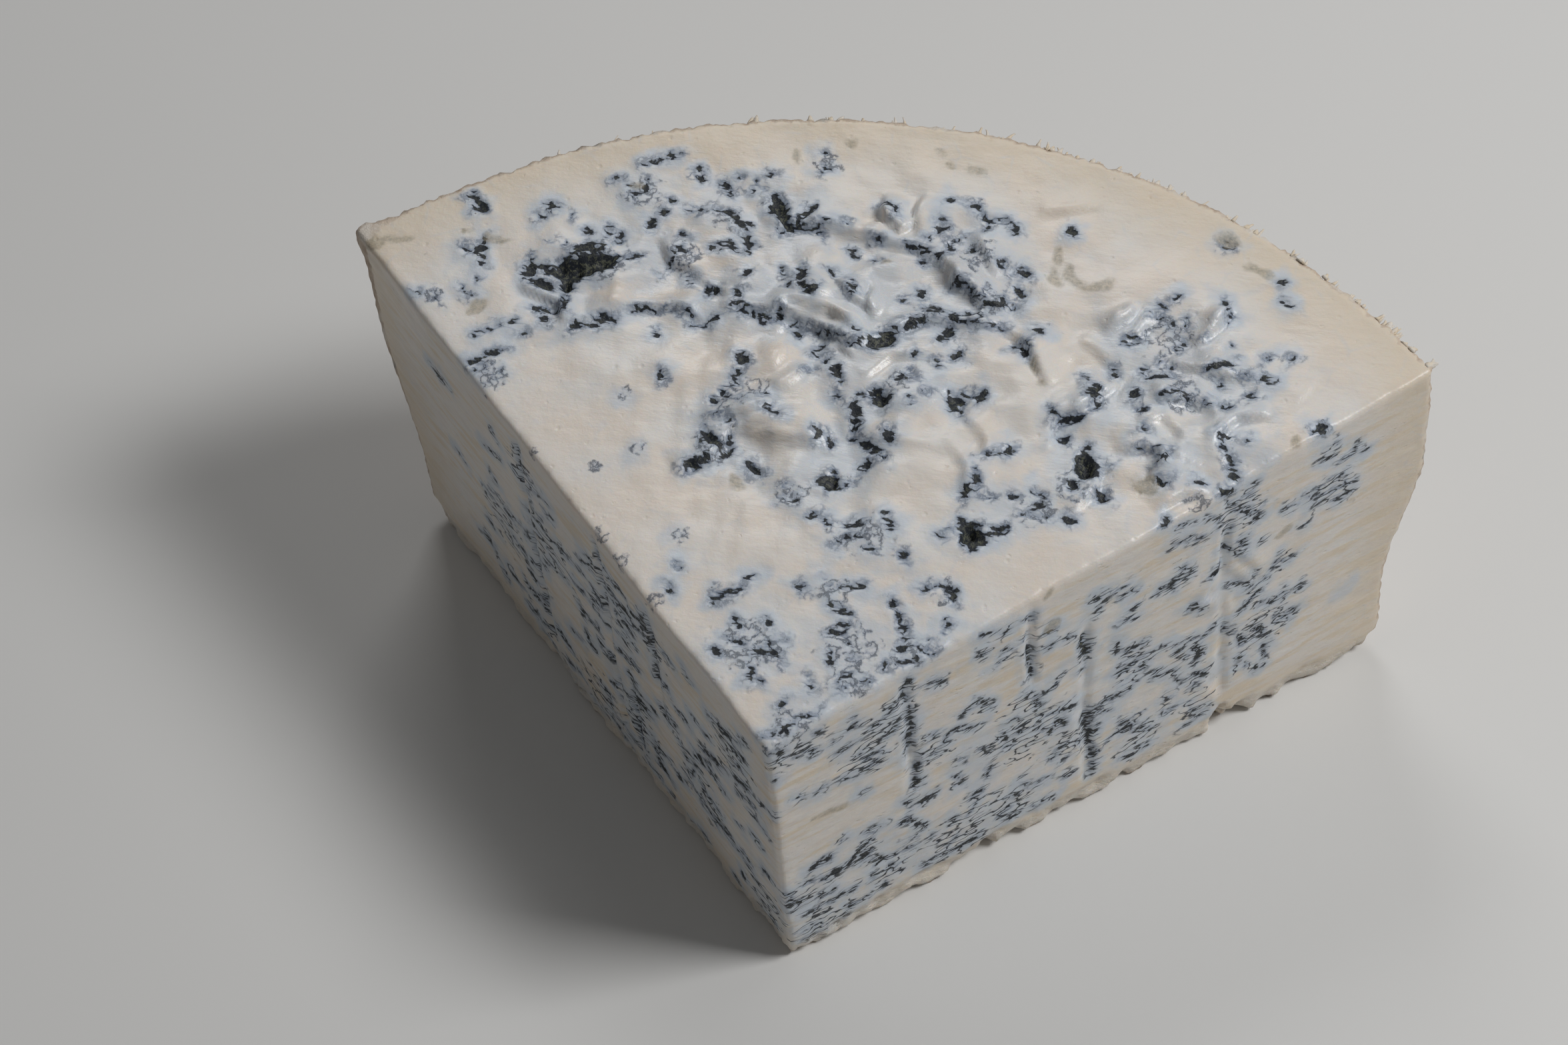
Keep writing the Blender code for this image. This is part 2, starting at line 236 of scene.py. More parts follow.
# Bluish-white bloom: x, distance from the point, and half-width
TOP_HAZE = (
    (-66, 98, 10), (-47, 106, 9), (-26, 99, 12), (-20, 119, 11), (-38, 122, 8), (0, 105, 12),
    (16, 114, 12), (16, 101, 10), (-3, 86, 9), (12, 84, 9), (-25, 70, 9), (-20, 62, 8), (0, 66, 10),
    (-4, 57, 8), (8, 48, 8), (50, 103, 9), (61, 96, 12), (47, 86, 8), (72, 88, 9), (45, 70, 9),
    (35, 60, 9), (30, 54, 7), (64, 74, 8), (-8, 22, 10), (12, 24, 11), (24, 27, 8), (4, 7, 8),
    (-74, 74, 6), (-54, 123, 8), (22, 116, 7), (-86, 102, 5), (-40, 60, 4), (-46, 73, 4),
    (-28, 43, 4), (-60, 90, 9), (80, 78, 6), (-28, 130, 5),
)
# Folds that the knife drew up in the soft middle: height, reach, then places; the raised lip is on
# the left of the way they run
TOP_FOLDS = (
    (0.6, 4, -54, 93, -46, 94.3, -40, 95.4, -34, 93),
    (0.9, 5, -31, 95.5, -20, 97.3, -12, 95.6, -4, 91.5, -1, 91),
    (0.8, 4, -3, 91, 2, 93.2, 6, 97, 10, 100, 15, 100.5, 25, 100),
    (0.9, 4, -28, 118.5, -15, 119.5, -5, 118.5, 5, 117, 9, 115.5),
    (1.2, 4, 8, 116, 12, 112.5, 13.5, 109.5, 17, 107.8, 21, 104),
    (0.7, 4, 24, 101, 28, 98.5, 31, 95.5, 34, 91, 36, 88), (0.7, 3, -20, 67.8, -10, 67.5, -3, 68.5),
    (0.7, 3, -31, 57, -25, 61.5, -22, 68, -14, 72), (0.6, 3, -28, 70, -20, 72, -15, 75),
    (0.3, 4, 0, 75, 3, 70.5, 8, 70, 15, 70.4, 22, 69), (0.8, 2.5, 46, 102.5, 49, 106, 51, 110),
    (0.7, 2.5, 49, 100, 52, 103, 55, 108), (0.9, 3, 38, 80.5, 43, 82.5, 46.5, 87, 50, 91),
    (0.8, 3, 57, 87.5, 63, 88.8, 69, 88), (0.8, 3, 52, 75, 57, 76.5, 61, 75.5, 59, 70),
    (0.35, 3, 20.5, 79.5, 23, 77, 26, 74, 27, 69), (0.3, 3, 18, 73, 22, 69.5, 24, 66, 25, 59),
    (0.7, 3, 58, 97, 66, 95.5, 76, 95.3), (1.0, 3, -73, 95, -68, 94, -64, 93, -62, 88),
    (0.9, 3, -6, 126, -3, 122.5, 1, 120.5, 3, 124), (0.4, 3, 27, 129, 33, 130.5, 39, 133),
    (0.7, 3, 62, 63, 66, 67, 71, 69), (0.9, 3, 64, 102, 67, 107, 69.5, 112),
    (0.7, 3, -20, 104, -13, 101, -6, 103, -1, 108), (0.8, 3, -22, 94, -18, 99.5, -10, 99, -4, 96.5),
    (0.7, 3, -10, 106, -5, 101.5, 0, 99), (0.6, 3, -15, 78, -12, 81.5, -10, 86),
    (0.6, 3, -38, 103, -31, 100, -26, 102), (0.7, 3, 70, 80, 74, 86, 80, 88),
    (0.15, 3, 83, 88, 86, 94, 88, 99), (0.6, 3, 47, 60, 50, 66, 50, 73),
    (0.5, 2.5, 40, 100, 44, 98, 47, 95), (0.6, 3, -48, 112, -44, 106, -36, 104),
    (0.6, 3, 14, 122, 17, 119, 21, 112), (0.6, 3, 3, 131, 2, 126, 4, 120),
    (0.5, 3, 55, 82, 60, 84, 64, 80), (0.5, 1.5, 47.5, 104.5, 48, 108),
    (0.6, 1.5, 49.5, 104, 50.5, 109.5), (0.5, 1.5, 51.5, 104, 53.5, 109),
    (0.7, 2, -3, 108, -2.5, 103, -1.5, 98), (0.6, 2, -19, 92, -17, 97, -9, 98.5, -4, 95),
    (0.6, 2, -5, 130, -4, 123, -8, 121), (0.6, 2, 40, 74, 39, 79, 41, 84),
    (0.6, 2, 60, 71, 62, 74, 61, 78), (0.6, 2, 66, 107, 68, 111), (0.5, 2.5, 1, 84, 5, 90, 10, 91),
    (0.5, 2.5, -22, 81, -17, 84, -15, 90), (0.5, 3, -12, 88, -6, 91, -2, 88),
    (0.6, 3, 24, 109, 21, 105.5, 25, 104),
)

# Veins on the right cut face: half-width, then distances from the point and heights
RIGHT_VEINS = (
    # beside the first channel
    (0.8, 31, 72, 30, 69, 30.3, 62, 30.8, 57, 30, 52, 29.5, 48.5), (0.6, 30, 67, 26.5, 66, 25, 63),
    (0.6, 28.5, 62, 27, 58.5, 25.5, 58), (0.5, 20, 61.5, 14, 60.3), (0.8, 22.5, 63, 23.5, 62),
    (0.7, 17, 66.5, 19.5, 66), (0.6, 14.2, 65), (0.6, 18.5, 69), (0.6, 19.2, 56.5),
    (0.5, 20, 54.5, 23.5, 54), (0.7, 22, 52.5, 24, 52.5), (0.6, 15, 51.5, 18, 50.5, 24, 50.8),
    (0.7, 5, 53, 6.5, 52), (0.6, 9.5, 52.2, 11.5, 52), (0.5, 19.3, 43.9), (0.8, 31.5, 44, 31, 41.5),
    (0.7, 31.2, 39.5, 30.8, 36.5), (0.5, 33, 46, 36, 43), (0.5, 36, 45, 38.5, 48, 41, 48, 46, 45),
    (0.8, 38, 46.2), (0.5, 34, 50.5, 37, 50.2), (0.9, 43, 52.5, 45, 54, 47, 51.5), (0.8, 48, 50.3),
    # the second channel
    (0.9, 57, 71.5, 58, 69.5), (0.6, 56.2, 65), (0.9, 57.3, 61.5, 57.3, 58.5),
    (0.7, 57.5, 57, 57.8, 52.5), (0.7, 56, 48, 58, 46, 59.5, 44), (1.0, 58.5, 43.5, 59.5, 42),
    (0.6, 60, 45, 62.5, 46, 64.5, 48.5), (0.6, 52, 43, 55, 41),
    # the third channel
    (1.7, 69.5, 55.5, 69.5, 52, 70, 49), (0.6, 69.3, 46), (0.9, 70, 31.5, 70, 28),
    (1.0, 70, 28, 71, 22, 71.5, 15, 71.5, 10), (0.7, 71, 31, 73.5, 28.5, 75.8, 27),
    (0.6, 70.5, 29, 72, 24, 72.8, 21.5),
    # between the third and the fourth
    (0.5, 72, 67, 75, 66.5, 80, 66.5), (0.6, 73, 64, 73.5, 62), (0.5, 78, 63, 82, 63),
    (0.5, 78, 54, 82, 54.5), (0.5, 80, 57, 82, 57.2), (0.7, 77.5, 48.5, 77.5, 45),
    (0.6, 79, 44.3, 84, 44), (0.6, 78.5, 40.8, 81.5, 41), (0.7, 77.5, 38.3, 81, 38.5, 84.5, 39.5),
    (0.7, 82, 37, 84, 35.5), (0.6, 78, 34.3, 81, 34.8), (0.7, 74, 31, 80, 31, 83, 32),
    (0.7, 85.5, 32.5, 87, 32.5), (0.5, 87, 39.5, 88.5, 39.7), (0.6, 86, 30.5, 91, 29.3),
    (0.6, 86.5, 58.5, 91.5, 59.5, 94, 58.8), (0.6, 90, 60, 89.8, 57, 90.8, 55.5),
    (0.8, 92, 62, 93, 61.5), (0.6, 91, 35, 93, 36), (0.7, 91, 38, 92, 37.5),
    (0.9, 94, 48.5, 96, 47), (0.6, 97, 45.5), (0.6, 93.5, 36.5, 97, 35.5),
    (0.9, 96, 34, 97, 31, 96, 28), (0.6, 93.8, 32), (0.5, 98, 36, 102, 37),
    (0.6, 91.5, 25.5, 93.5, 23), (0.9, 95.5, 24, 98, 23), (0.7, 95, 20.5, 97, 20.5),
    # around the fourth channel and its crease
    (0.7, 91, 76, 94.5, 74.5), (0.6, 97, 73.5, 101, 71.7), (0.7, 90, 70.8, 94.5, 70),
    (0.6, 95.5, 68, 97.5, 68), (0.7, 100.5, 69.3, 101.5, 69.5), (1.2, 101, 80, 103, 77.5),
    (0.6, 104, 73, 108, 73.5), (0.6, 103.3, 74, 105, 70.5), (1.0, 105.5, 69.5, 107.5, 69),
    (0.7, 107, 68, 109, 66.8, 110.5, 64.8), (0.8, 110.8, 69.5, 111.5, 69),
    (0.7, 109.5, 76.5, 108.5, 76.8), (0.6, 102.8, 68, 103.3, 65.5), (1.0, 103, 61, 104, 59),
    (0.6, 104.5, 60.5, 107, 60.3), (0.6, 107, 60, 107.3, 58.5), (0.5, 104.5, 57.5, 106, 56),
    (0.5, 111, 57.2), (0.6, 98.5, 54.5, 101, 55.5), (0.5, 103.5, 48, 106, 46.5),
    (0.6, 107, 45.5, 109.5, 44), (0.7, 110.5, 43.8, 112, 44),
    (0.7, 113.5, 45, 114.5, 47, 119, 46.2), (0.6, 115, 48.5), (0.6, 110.5, 47),
    (0.8, 107, 37.5, 108.5, 38.5, 110, 40.5, 111.8, 40), (0.5, 112, 36.5, 114.5, 35),
    (0.6, 116.5, 36, 117.5, 34), (0.9, 121, 35, 122, 34.5), (0.8, 102.5, 34.5, 105, 31),
    (1.0, 106, 29.5, 108, 26), (1.4, 110, 28, 113, 26), (0.7, 115, 30, 117, 27.5, 119.5, 26),
    (0.6, 118, 28.5, 121, 28), (0.9, 113, 23, 113, 20, 113.5, 17), (0.6, 106, 22.5, 107, 21),
    # towards the rind
    (0.6, 120, 64.5, 125, 65, 130, 64.5), (0.6, 122, 63, 128, 61.5, 132.5, 61),
    (0.6, 123, 59.5, 126, 59.5), (0.7, 127, 59, 130, 57.5, 133, 58), (0.5, 130, 65, 131, 61.5),
    (0.6, 124.5, 73, 127, 71.8), (0.7, 126.5, 75.8, 128, 75),
    (0.6, 129.5, 70, 132, 70.3, 132.3, 72.5), (0.5, 134, 69, 136, 68.5),
    (0.5, 116, 63.5, 118.5, 62), (0.5, 121.5, 54.8),
    # low on the left
    (1.3, 1, 21, 2.5, 19), (0.8, 0.5, 23.5, 2, 22), (0.9, 5, 23.8, 6, 23),
    (0.8, 8, 22, 12, 22.5, 15, 22.5), (0.9, 17, 23, 20.5, 22), (0.7, 15, 23, 18, 25.5, 20, 27.5),
    (0.6, 19, 30, 23, 29.3), (0.8, 6.5, 27, 9.5, 28.5, 11.5, 28), (0.5, 13.3, 32),
    (0.6, 28, 33.5, 29.5, 31, 31.5, 30.3, 35, 31.5), (0.6, 29.5, 30, 27, 27.5), (0.9, 27, 27),
    (0.6, 28, 27, 30, 24.5, 32, 22.5), (0.7, 32.3, 21.5, 32, 20.5),
    (0.5, 20, 21, 22, 19, 23.5, 17.5), (0.7, 20.5, 17, 25, 17.5, 29, 17), (0.5, 27, 19.5, 30.5, 20),
    (0.7, 24, 15.5, 24.5, 12.5), (0.6, 19, 15.5, 20, 13), (1.0, 22.5, 9.5, 21.5, 8),
    (0.6, 24.5, 13, 27, 13), (0.5, 4, 13.5, 13, 13.5), (0.6, 14, 13.3, 15.5, 13), (0.5, 9, 11.8),
    (0.6, 14, 8.5, 18, 8), (0.6, 1.5, 9, 4, 8), (0.6, 5, 9, 7, 8), (0.7, 2, 5, 6, 4.5),
    (0.5, 5.5, 6.5, 8, 6), (0.5, 9, 5, 13, 4.5), (0.6, 1, 17, 4.5, 17), (0.5, 8, 17, 11, 17),
    # low in the middle
    (0.6, 47, 31, 47.3, 28, 46.3, 26), (0.9, 42.5, 22.8, 45.5, 23),
    (0.8, 44, 21, 43, 18.5, 42, 17.5), (0.8, 37.5, 19, 39.5, 18.5), (0.6, 33.8, 17),
    (0.7, 37, 11, 39, 12), (0.9, 30.5, 7, 32, 8), (0.6, 34, 8, 38, 8, 42, 7.5, 44.5, 8.5),
    (0.5, 53.5, 17.5, 57, 17.3), (0.5, 50.5, 16, 54, 16, 61, 15.5), (0.8, 48.5, 11.5, 52, 13),
    (0.6, 50, 9, 54, 9), (0.5, 56.5, 8.3, 61, 8), (0.5, 55, 20.3), (0.7, 61, 22.5, 63, 21.5),
    (0.9, 67.5, 22.5, 68.5, 21.5), (0.6, 64, 18.5, 66, 19), (0.5, 64.5, 13.5, 67, 13),
    (0.5, 62, 24, 66, 24), (0.5, 40, 38, 42.5, 36), (0.6, 45, 38, 47, 35),
    (0.6, 50.5, 38.5, 52, 36.5), (0.6, 54, 37.5, 55, 35), (0.7, 60.5, 37.5, 64, 36.5, 68, 35),
    (0.8, 61.5, 31.5), (0.7, 63.5, 33.5, 65, 31), (0.5, 57, 35.5, 60.5, 32.5),
    (0.8, 51, 34, 52.5, 33.3), (0.7, 39.5, 33, 41, 31.5), (0.8, 39.5, 29.5, 41.5, 29),
    # high on the left
    (0.7, 47.5, 73.5, 50, 73), (0.7, 51, 71.5, 53.5, 70), (0.6, 45.5, 68.3, 48.5, 67.5),
    (0.6, 51.5, 65, 54, 64), (0.6, 51, 62), (0.5, 33, 68, 36, 67, 38.5, 65.5),
    (0.7, 60.5, 60, 62.5, 59.5), (0.5, 65.5, 58.5, 67, 59), (0.5, 61, 65, 64, 64.5),
    (0.8, 0.5, 71, 3, 70), (0.8, 2, 69, 4.5, 68.5), (0.7, 3.5, 67, 6.5, 66), (0.8, 8, 66, 10, 64.5),
    (0.7, 1.5, 62.5), (0.6, 10, 71, 11, 70.5),
    # low on the right
    (0.5, 88, 21, 91, 20.5), (0.6, 81, 21, 84, 20.7), (0.5, 78, 22, 80, 19),
    (0.6, 75, 17, 78, 18.5, 81, 18.5), (0.7, 81, 18, 83, 15.5, 85, 13.5),
    (0.5, 88.5, 16.5, 92, 16.5), (0.7, 93, 16, 95, 15), (0.7, 95.5, 13, 96.5, 11),
    (0.6, 93.5, 7.5, 96, 8.5, 99, 9), (0.8, 82, 9, 85, 8.5), (0.6, 78, 8.5, 81, 8.3),
    (0.5, 106, 18, 108.5, 17.5), (0.6, 110.5, 16, 113, 14.5),
)
RIGHT_OLIVE = (
    (0.6, 8, 43.5, 15, 43), (0.7, 61, 66, 64, 65.5), (0.6, 132, 55, 133.5, 53),
    (0.7, 61.5, 75, 62.5, 76), (0.6, 115, 56, 117.5, 56),
)
RIGHT_NETS = (
    (4, 70, 6), (26, 62, 6), (46, 52, 3), (55, 44, 5), (58, 34, 9), (66, 24, 5), (81, 38, 5),
    (107, 69, 5), (113, 27, 7), (97, 23, 4), (128, 61, 5.5), (3, 20, 5), (18, 23, 4), (8, 8, 7),
    (24, 13, 5), (40, 12, 8), (51, 14, 6), (82, 12, 6), (96, 14, 5), (20, 55, 6), (117, 46, 3),
    (36, 44, 4), (92, 60, 3.5), (44, 20, 4),
)
RIGHT_HAZE = (
    (45, 36, 9), (56, 34, 10), (65, 31, 8), (30, 60, 5), (30, 50, 5), (57.5, 60, 4), (70, 62, 4),
    (70, 48, 4), (70.5, 40, 4), (70, 25, 6), (102, 48, 6), (101, 22, 6), (110, 27, 8), (102, 70, 7),
    (20, 22, 8), (4, 19, 6), (8, 8, 9), (128, 61, 7), (82, 38, 8), (30, 14, 10), (45, 13, 9),
    (22, 60, 8), (84, 12, 9), (4, 70, 8), (52, 16, 8), (132, 26, 5),
)
RIGHT_FOLDS = (
    (0.5, 2.5, 104, 58, 109, 51, 111, 45), (0.5, 2, 103, 53, 107, 48, 108, 44),
    (0.6, 3, 102, 44, 98, 49, 101, 54), (0.4, 2.5, 105, 40, 103, 46, 104, 52),
    (0.4, 3, 102, 12, 99, 20, 102, 27), (0.3, 3, 40, 42, 52, 41, 66, 38),
    (0.35, 2.5, 66, 22, 68, 30, 66, 37),
)
# Where the foot of each cut broke away: distance from the point, height and half-width of the break
RIGHT_CHIPS = (
    (38.5, 3.0, 1.5), (42, 3.4, 3), (46, 4.6, 2.5), (51, 3.2, 4), (78.5, 3.6, 1.5),
    (102.4, 8.0, 2.0), (106, 4.6, 4), (136, 3.0, 5), (87, 1.8, 2), (17, 1.6, 3), (27, 2.4, 3),
    (120, 2.0, 3), (65, 1.8, 4),
)
LEFT_CHIPS = (
    (25, 1.6, 2.5), (54, 2.6, 2), (60, 3.2, 1.8), (90, 3.0, 2), (112, 1.8, 4), (133, 2.4, 3),
)


# ---------------------------------------------------------------------------------------------
# Sums that the shapes share
# ---------------------------------------------------------------------------------------------
TABLE_SIZE = 256  # entries in the noise's tables
FAR = 9.0  # the distance that stands for no vein nearby
WAVER_SIZE = 4.5
WAVER = 1.7
FOLD_SHARPNESS = 0.65  # half-width of a fold's step


def smooth_step(low, high, values):
    """0 below low, 1 above high, and 3t^2 - 2t^3 between them."""
    t = np.clip((values - low) / (high - low), 0.0, 1.0)
    return t * t * (3.0 - 2.0 * t)


def gradient_noise(places, seed):
    """Perlin's noise: at each corner of the unit cell a random slope, blended by 6t^5 - 15t^4 + 10t^3."""
    rng = np.random.default_rng(seed)
    order = rng.permutation(TABLE_SIZE)
    slopes = rng.normal(size=(TABLE_SIZE, 3))
    slopes /= np.linalg.norm(slopes, axis=1, keepdims=True)
    cell = np.floor(places).astype(np.int64)
    inside = places - cell
    fade = inside**3 * (inside * (inside * 6.0 - 15.0) + 10.0)
    total = np.zeros(len(places))
    for corner in np.ndindex(2, 2, 2):
        x, y, z = ((cell + corner) % TABLE_SIZE).T
        slope = slopes[order[(order[(order[x] + y) % TABLE_SIZE] + z) % TABLE_SIZE]]
        weight = np.prod(np.where(corner, fade, 1.0 - fade), axis=1)
        total += weight * np.sum(slope * (inside - corner), axis=1)
    return total


def layered_noise(places, size, layers, seed):
    """Noise with a feature of that size, and each further layer half as wide and half as strong."""
    total = np.zeros(len(places))
    for layer in range(layers):
        total += gradient_noise(places * (2.0**layer / np.asarray(size)), seed + layer) / 2.0**layer
    return total


def on_plane(x, y):
    """Places on a plane, for noise that needs no third direction."""
    return np.column_stack([x, y, x * 0.0])


def ridges(places, size, layers, seed):
    """Sharp-crested noise, 1 on the crests and 0 in the hollows."""
    return 1.0 - np.clip(np.abs(layered_noise(places, size, layers, seed)) * 2.2, 0.0, 1.0)


def nearest_on(places, line):
    """How far each place is from a line of points, on which side of it, and how far along.

    The side is the distance across the nearest stretch, positive to its left; along is a share.
    """
    points = np.reshape(line, (-1, 2)).astype(float)
    if len(points) == 1:
        points = np.vstack([points, points + 0.001])
    lengths = np.linalg.norm(np.diff(points, axis=0), axis=1)
    before = np.concatenate([[0.0], np.cumsum(lengths)])
    best = np.full(len(places), np.inf)
    side = np.zeros(len(places))
    along = np.zeros(len(places))
    for start, end, length, passed in zip(points[:-1], points[1:], lengths, before):
        way = (end - start) / length
        offset = places - start
        t = np.clip(offset @ way, 0.0, length)
        distance = np.linalg.norm(offset - t[:, None] * way, axis=1)
        closer = distance < best
        best = np.where(closer, distance, best)
        side = np.where(closer, way[0] * offset[:, 1] - way[1] * offset[:, 0], side)
        along = np.where(closer, (passed + t) / before[-1], along)
    return best, side, along


def vein_distance(places, veins, share=1.0):
    """Distance from the nearest vein's edge, negative inside it.

    The places are pushed about by noise, so that the veins waver. A dot keeps its width, and a
    longer vein narrows to half at its ends by the root of a sine of the way along.
    """
    still = on_plane(*places.T)
    pushed = [layered_noise(still, WAVER_SIZE, 2, seed) for seed in (5, 6)]
    wavered = places + np.column_stack(pushed) * WAVER
    best = np.full(len(places), FAR)
    for half_width, *line in veins:
        distance, _, along = nearest_on(wavered, line)
        taper = 1.0 if len(line) < 3 else 0.5 + 0.5 * np.sqrt(np.clip(np.sin(pi * along), 0.0, 1.0))
        best = np.minimum(best, distance - share * half_width**1.3 * taper)
    return best


def blooms(places, spots):
    """The strongest of round spots, each exp(-(distance / half-width)^2)."""
    best = np.zeros(len(places))
    for x, y, reach in spots:
        distance = np.linalg.norm(places - (x, y), axis=1)
        best = np.maximum(best, np.exp(-((distance / reach) ** 2)))
    return best


def fold_height(places, folds):
    """Each fold is a step, tanh of the distance across it.

    It is stronger on the raised side, to the left of its line, and dies away all round.
    """
    total = np.zeros(len(places))
    for height, reach, *line in folds:
        distance, side, along = nearest_on(places, line)
        ends = np.sqrt(np.clip(np.sin(pi * along), 0.0, 1.0))
        step = np.tanh(side / FOLD_SHARPNESS)
        total += height * ends * step * (0.7 + 0.3 * step) * np.exp(-distance / reach)
    return total


def scattered_dashes(seed, count, width, height, beside):
    """Short level veins at seeded places.

    Every second one is scattered evenly; the rest gather beside the given distances from the point.
    """
    rng = np.random.default_rng(seed)
    dashes = []
    for number in range(count):
        across = rng.uniform(2.0, width) if number % 2 else rng.choice(beside) + rng.normal(0.0, 6.0)
        up = rng.uniform(3.0, height)
        reach = rng.uniform(0.5, 3.5)
        rise = rng.normal(0.0, 0.8)
        half_width = rng.uniform(0.4, 0.85)
        bend = rng.normal(0.0, 0.4)
        ends = (across - reach, up - rise), (across + reach, up + rise)
        dashes.append((half_width, *ends[0], across, up + bend, *ends[1]))
    return tuple(dashes)


LEFT_VEINS = scattered_dashes(41, 150, 126.0, 68.0, (42.0, 54.0, 60.5, 90.0, 10.0)) + (
    (0.8, 42, 69, 41.5, 58, 42, 50), (0.9, 60.5, 72, 60, 60, 60.5, 49), (0.9, 54, 32, 54, 20, 53.5, 12),
    (0.8, 90, 72, 90.5, 63), (0.8, 90, 45, 89.5, 30), (1.0, 12, 62, 16, 60, 20, 61),
    (0.9, 8, 50, 14, 48), (0.8, 24, 40, 30, 37),
    (0.8, 36, 24, 30, 20, 22, 21), (0.9, 74, 54, 80, 52, 86, 54), (0.8, 100, 60, 106, 58),
)
LEFT_NETS = (
    (14, 55, 8), (42, 60, 5), (61, 62, 5), (54, 20, 6), (28, 24, 8), (82, 48, 7), (90, 66, 5),
    (104, 34, 8), (8, 12, 7), (70, 14, 8),
)
LEFT_HAZE = (
    (14, 56, 9), (42, 52, 6), (60.5, 58, 6), (54, 22, 7), (60.5, 30, 6), (90, 40, 7), (28, 24, 10),
    (82, 50, 9), (104, 34, 9), (8, 12, 9),
)


# ---------------------------------------------------------------------------------------------
# The wedge's surface, in millimetres. The last number of each noise is its seed
# ---------------------------------------------------------------------------------------------
POINT = np.array([0.0, LOW[1]])
AXIS = POINT - (0.0, AXIS_BEHIND_POINT)
BLEND_REACH = 2.2  # how deep below a side its relief still counts
LEAST_NEARNESS = 0.01
DEPTH_SHARE = 0.8  # how much a millimetre below a side adds to a vein's distance
EDGE_SOFTENING = 0.25
EDGE_REACH = 0.6

# Round spots on the top: x, distance from the point, and reach
FOLDED_SPOTS = (
    (-30, 100, 26), (0, 100, 30), (28, 92, 26), (58, 88, 24), (-5, 72, 26), (-58, 100, 16),
)
WASHBOARD_SPOTS = ((-34, 72, 14), (-30, 84, 9), (-20, 48, 14))
WET_SPOTS = ((-30, 100, 24), (2, 98, 28), (58, 92, 26), (-10, 74, 20))
BROKEN_CORNER = ((-108.0, 101.5, 6.0),)
WASHBOARD_PITCH = 4.6
TOP_FOLDING = 2.8
CUT_FOLDING = 1.6

# The foot: slope of its chips, the crumbly strip's upper edge, and the needles' holes
CHIP_SLOPE = 0.9
STRIP_TOP = (3.0, 6.5)
HOLE_SPACING = (27.0, 26.0)
HOLE_STRAY = 1.6
HOLE_RADIUS = 1.5
HOLE_DEPTH = 1.6
HOLE_FAN = 0.88  # how far to a side the holes go, for each millimetre from the point
HOLES_WITHIN = 126.0  # how far from the point they go

# The rind: how far inside the wheel it lies, and the corner that the knife drew out on the left
RIND_INSET = 0.35
CORNER_HEIGHT = 80.0
CORNER_REACH = 6.0
CORNER_PULL = 3.2


def wheel_radius(height):
    """The side swells from the foot by a smooth step and leans in a little above.

    Below, a quarter circle rounds it into the foot.
    """
    waist = FOOT_INSET * (1.0 - smooth_step(*WAIST, height))
    lean = LEAN * smooth_step(*LEANING, height)
    below = np.clip(1.0 - height / FOOT_ROUNDING, 0.0, 1.0)
    foot = FOOT_ROUNDING * (1.0 - np.sqrt(1.0 - below**2))
    return SIDE_RADIUS - waist - lean - foot


def side_levels():
    """UP + 1 shares of the height from 0 to 1.

    Each is midway between its even share and the height at its even share of the side's outline.
    """
    height = np.linspace(0.0, HIGH[2], 2000)
    steps = np.hypot(np.diff(height), np.diff(wheel_radius(height)))
    travelled = np.concatenate([[0.0], np.cumsum(steps)])
    even = np.linspace(0.0, 1.0, UP + 1)
    outline = np.interp(even * travelled[-1], travelled, height / HIGH[2])
    return (even + outline) / 2.0


def fan(steps):
    """A square grid bent into a fan: the ring is the larger index, the turn runs between the cut faces."""
    i, j = np.meshgrid(np.arange(steps + 1), np.arange(steps + 1), indexing="ij")
    ring = np.maximum(i, j)
    safe = np.maximum(ring, 1)
    turn = np.where(i >= j, 1.0 - j / safe, i / safe - 1.0)
    return ring / steps, turn * HALF_ANGLE


def wedge_places(reach, turn, level):
    """Places from shares of the way to the rind and of the height, and turns from the middle plane.

    The rind's radius depends on the height and the top's height on the radius, so the two are
    worked out in turn until they settle.
    """
    radius = SIDE_RADIUS
    for _ in range(3):
        back = AXIS_BEHIND_POINT * np.cos(turn)
        distance = reach * (np.sqrt(radius**2 - (AXIS_BEHIND_POINT * np.sin(turn)) ** 2) - back)
        x = distance * np.sin(turn)
        y = POINT[1] + distance * np.cos(turn)
        z = level * top_height(y)
        radius = wheel_radius(z)
    return np.column_stack([x, y, z])


def top_height(y):
    """The upper cut climbs evenly from the point to the rim."""
    return POINT_HEIGHT + np.tan(TOP_TILT) * (y - POINT[1])


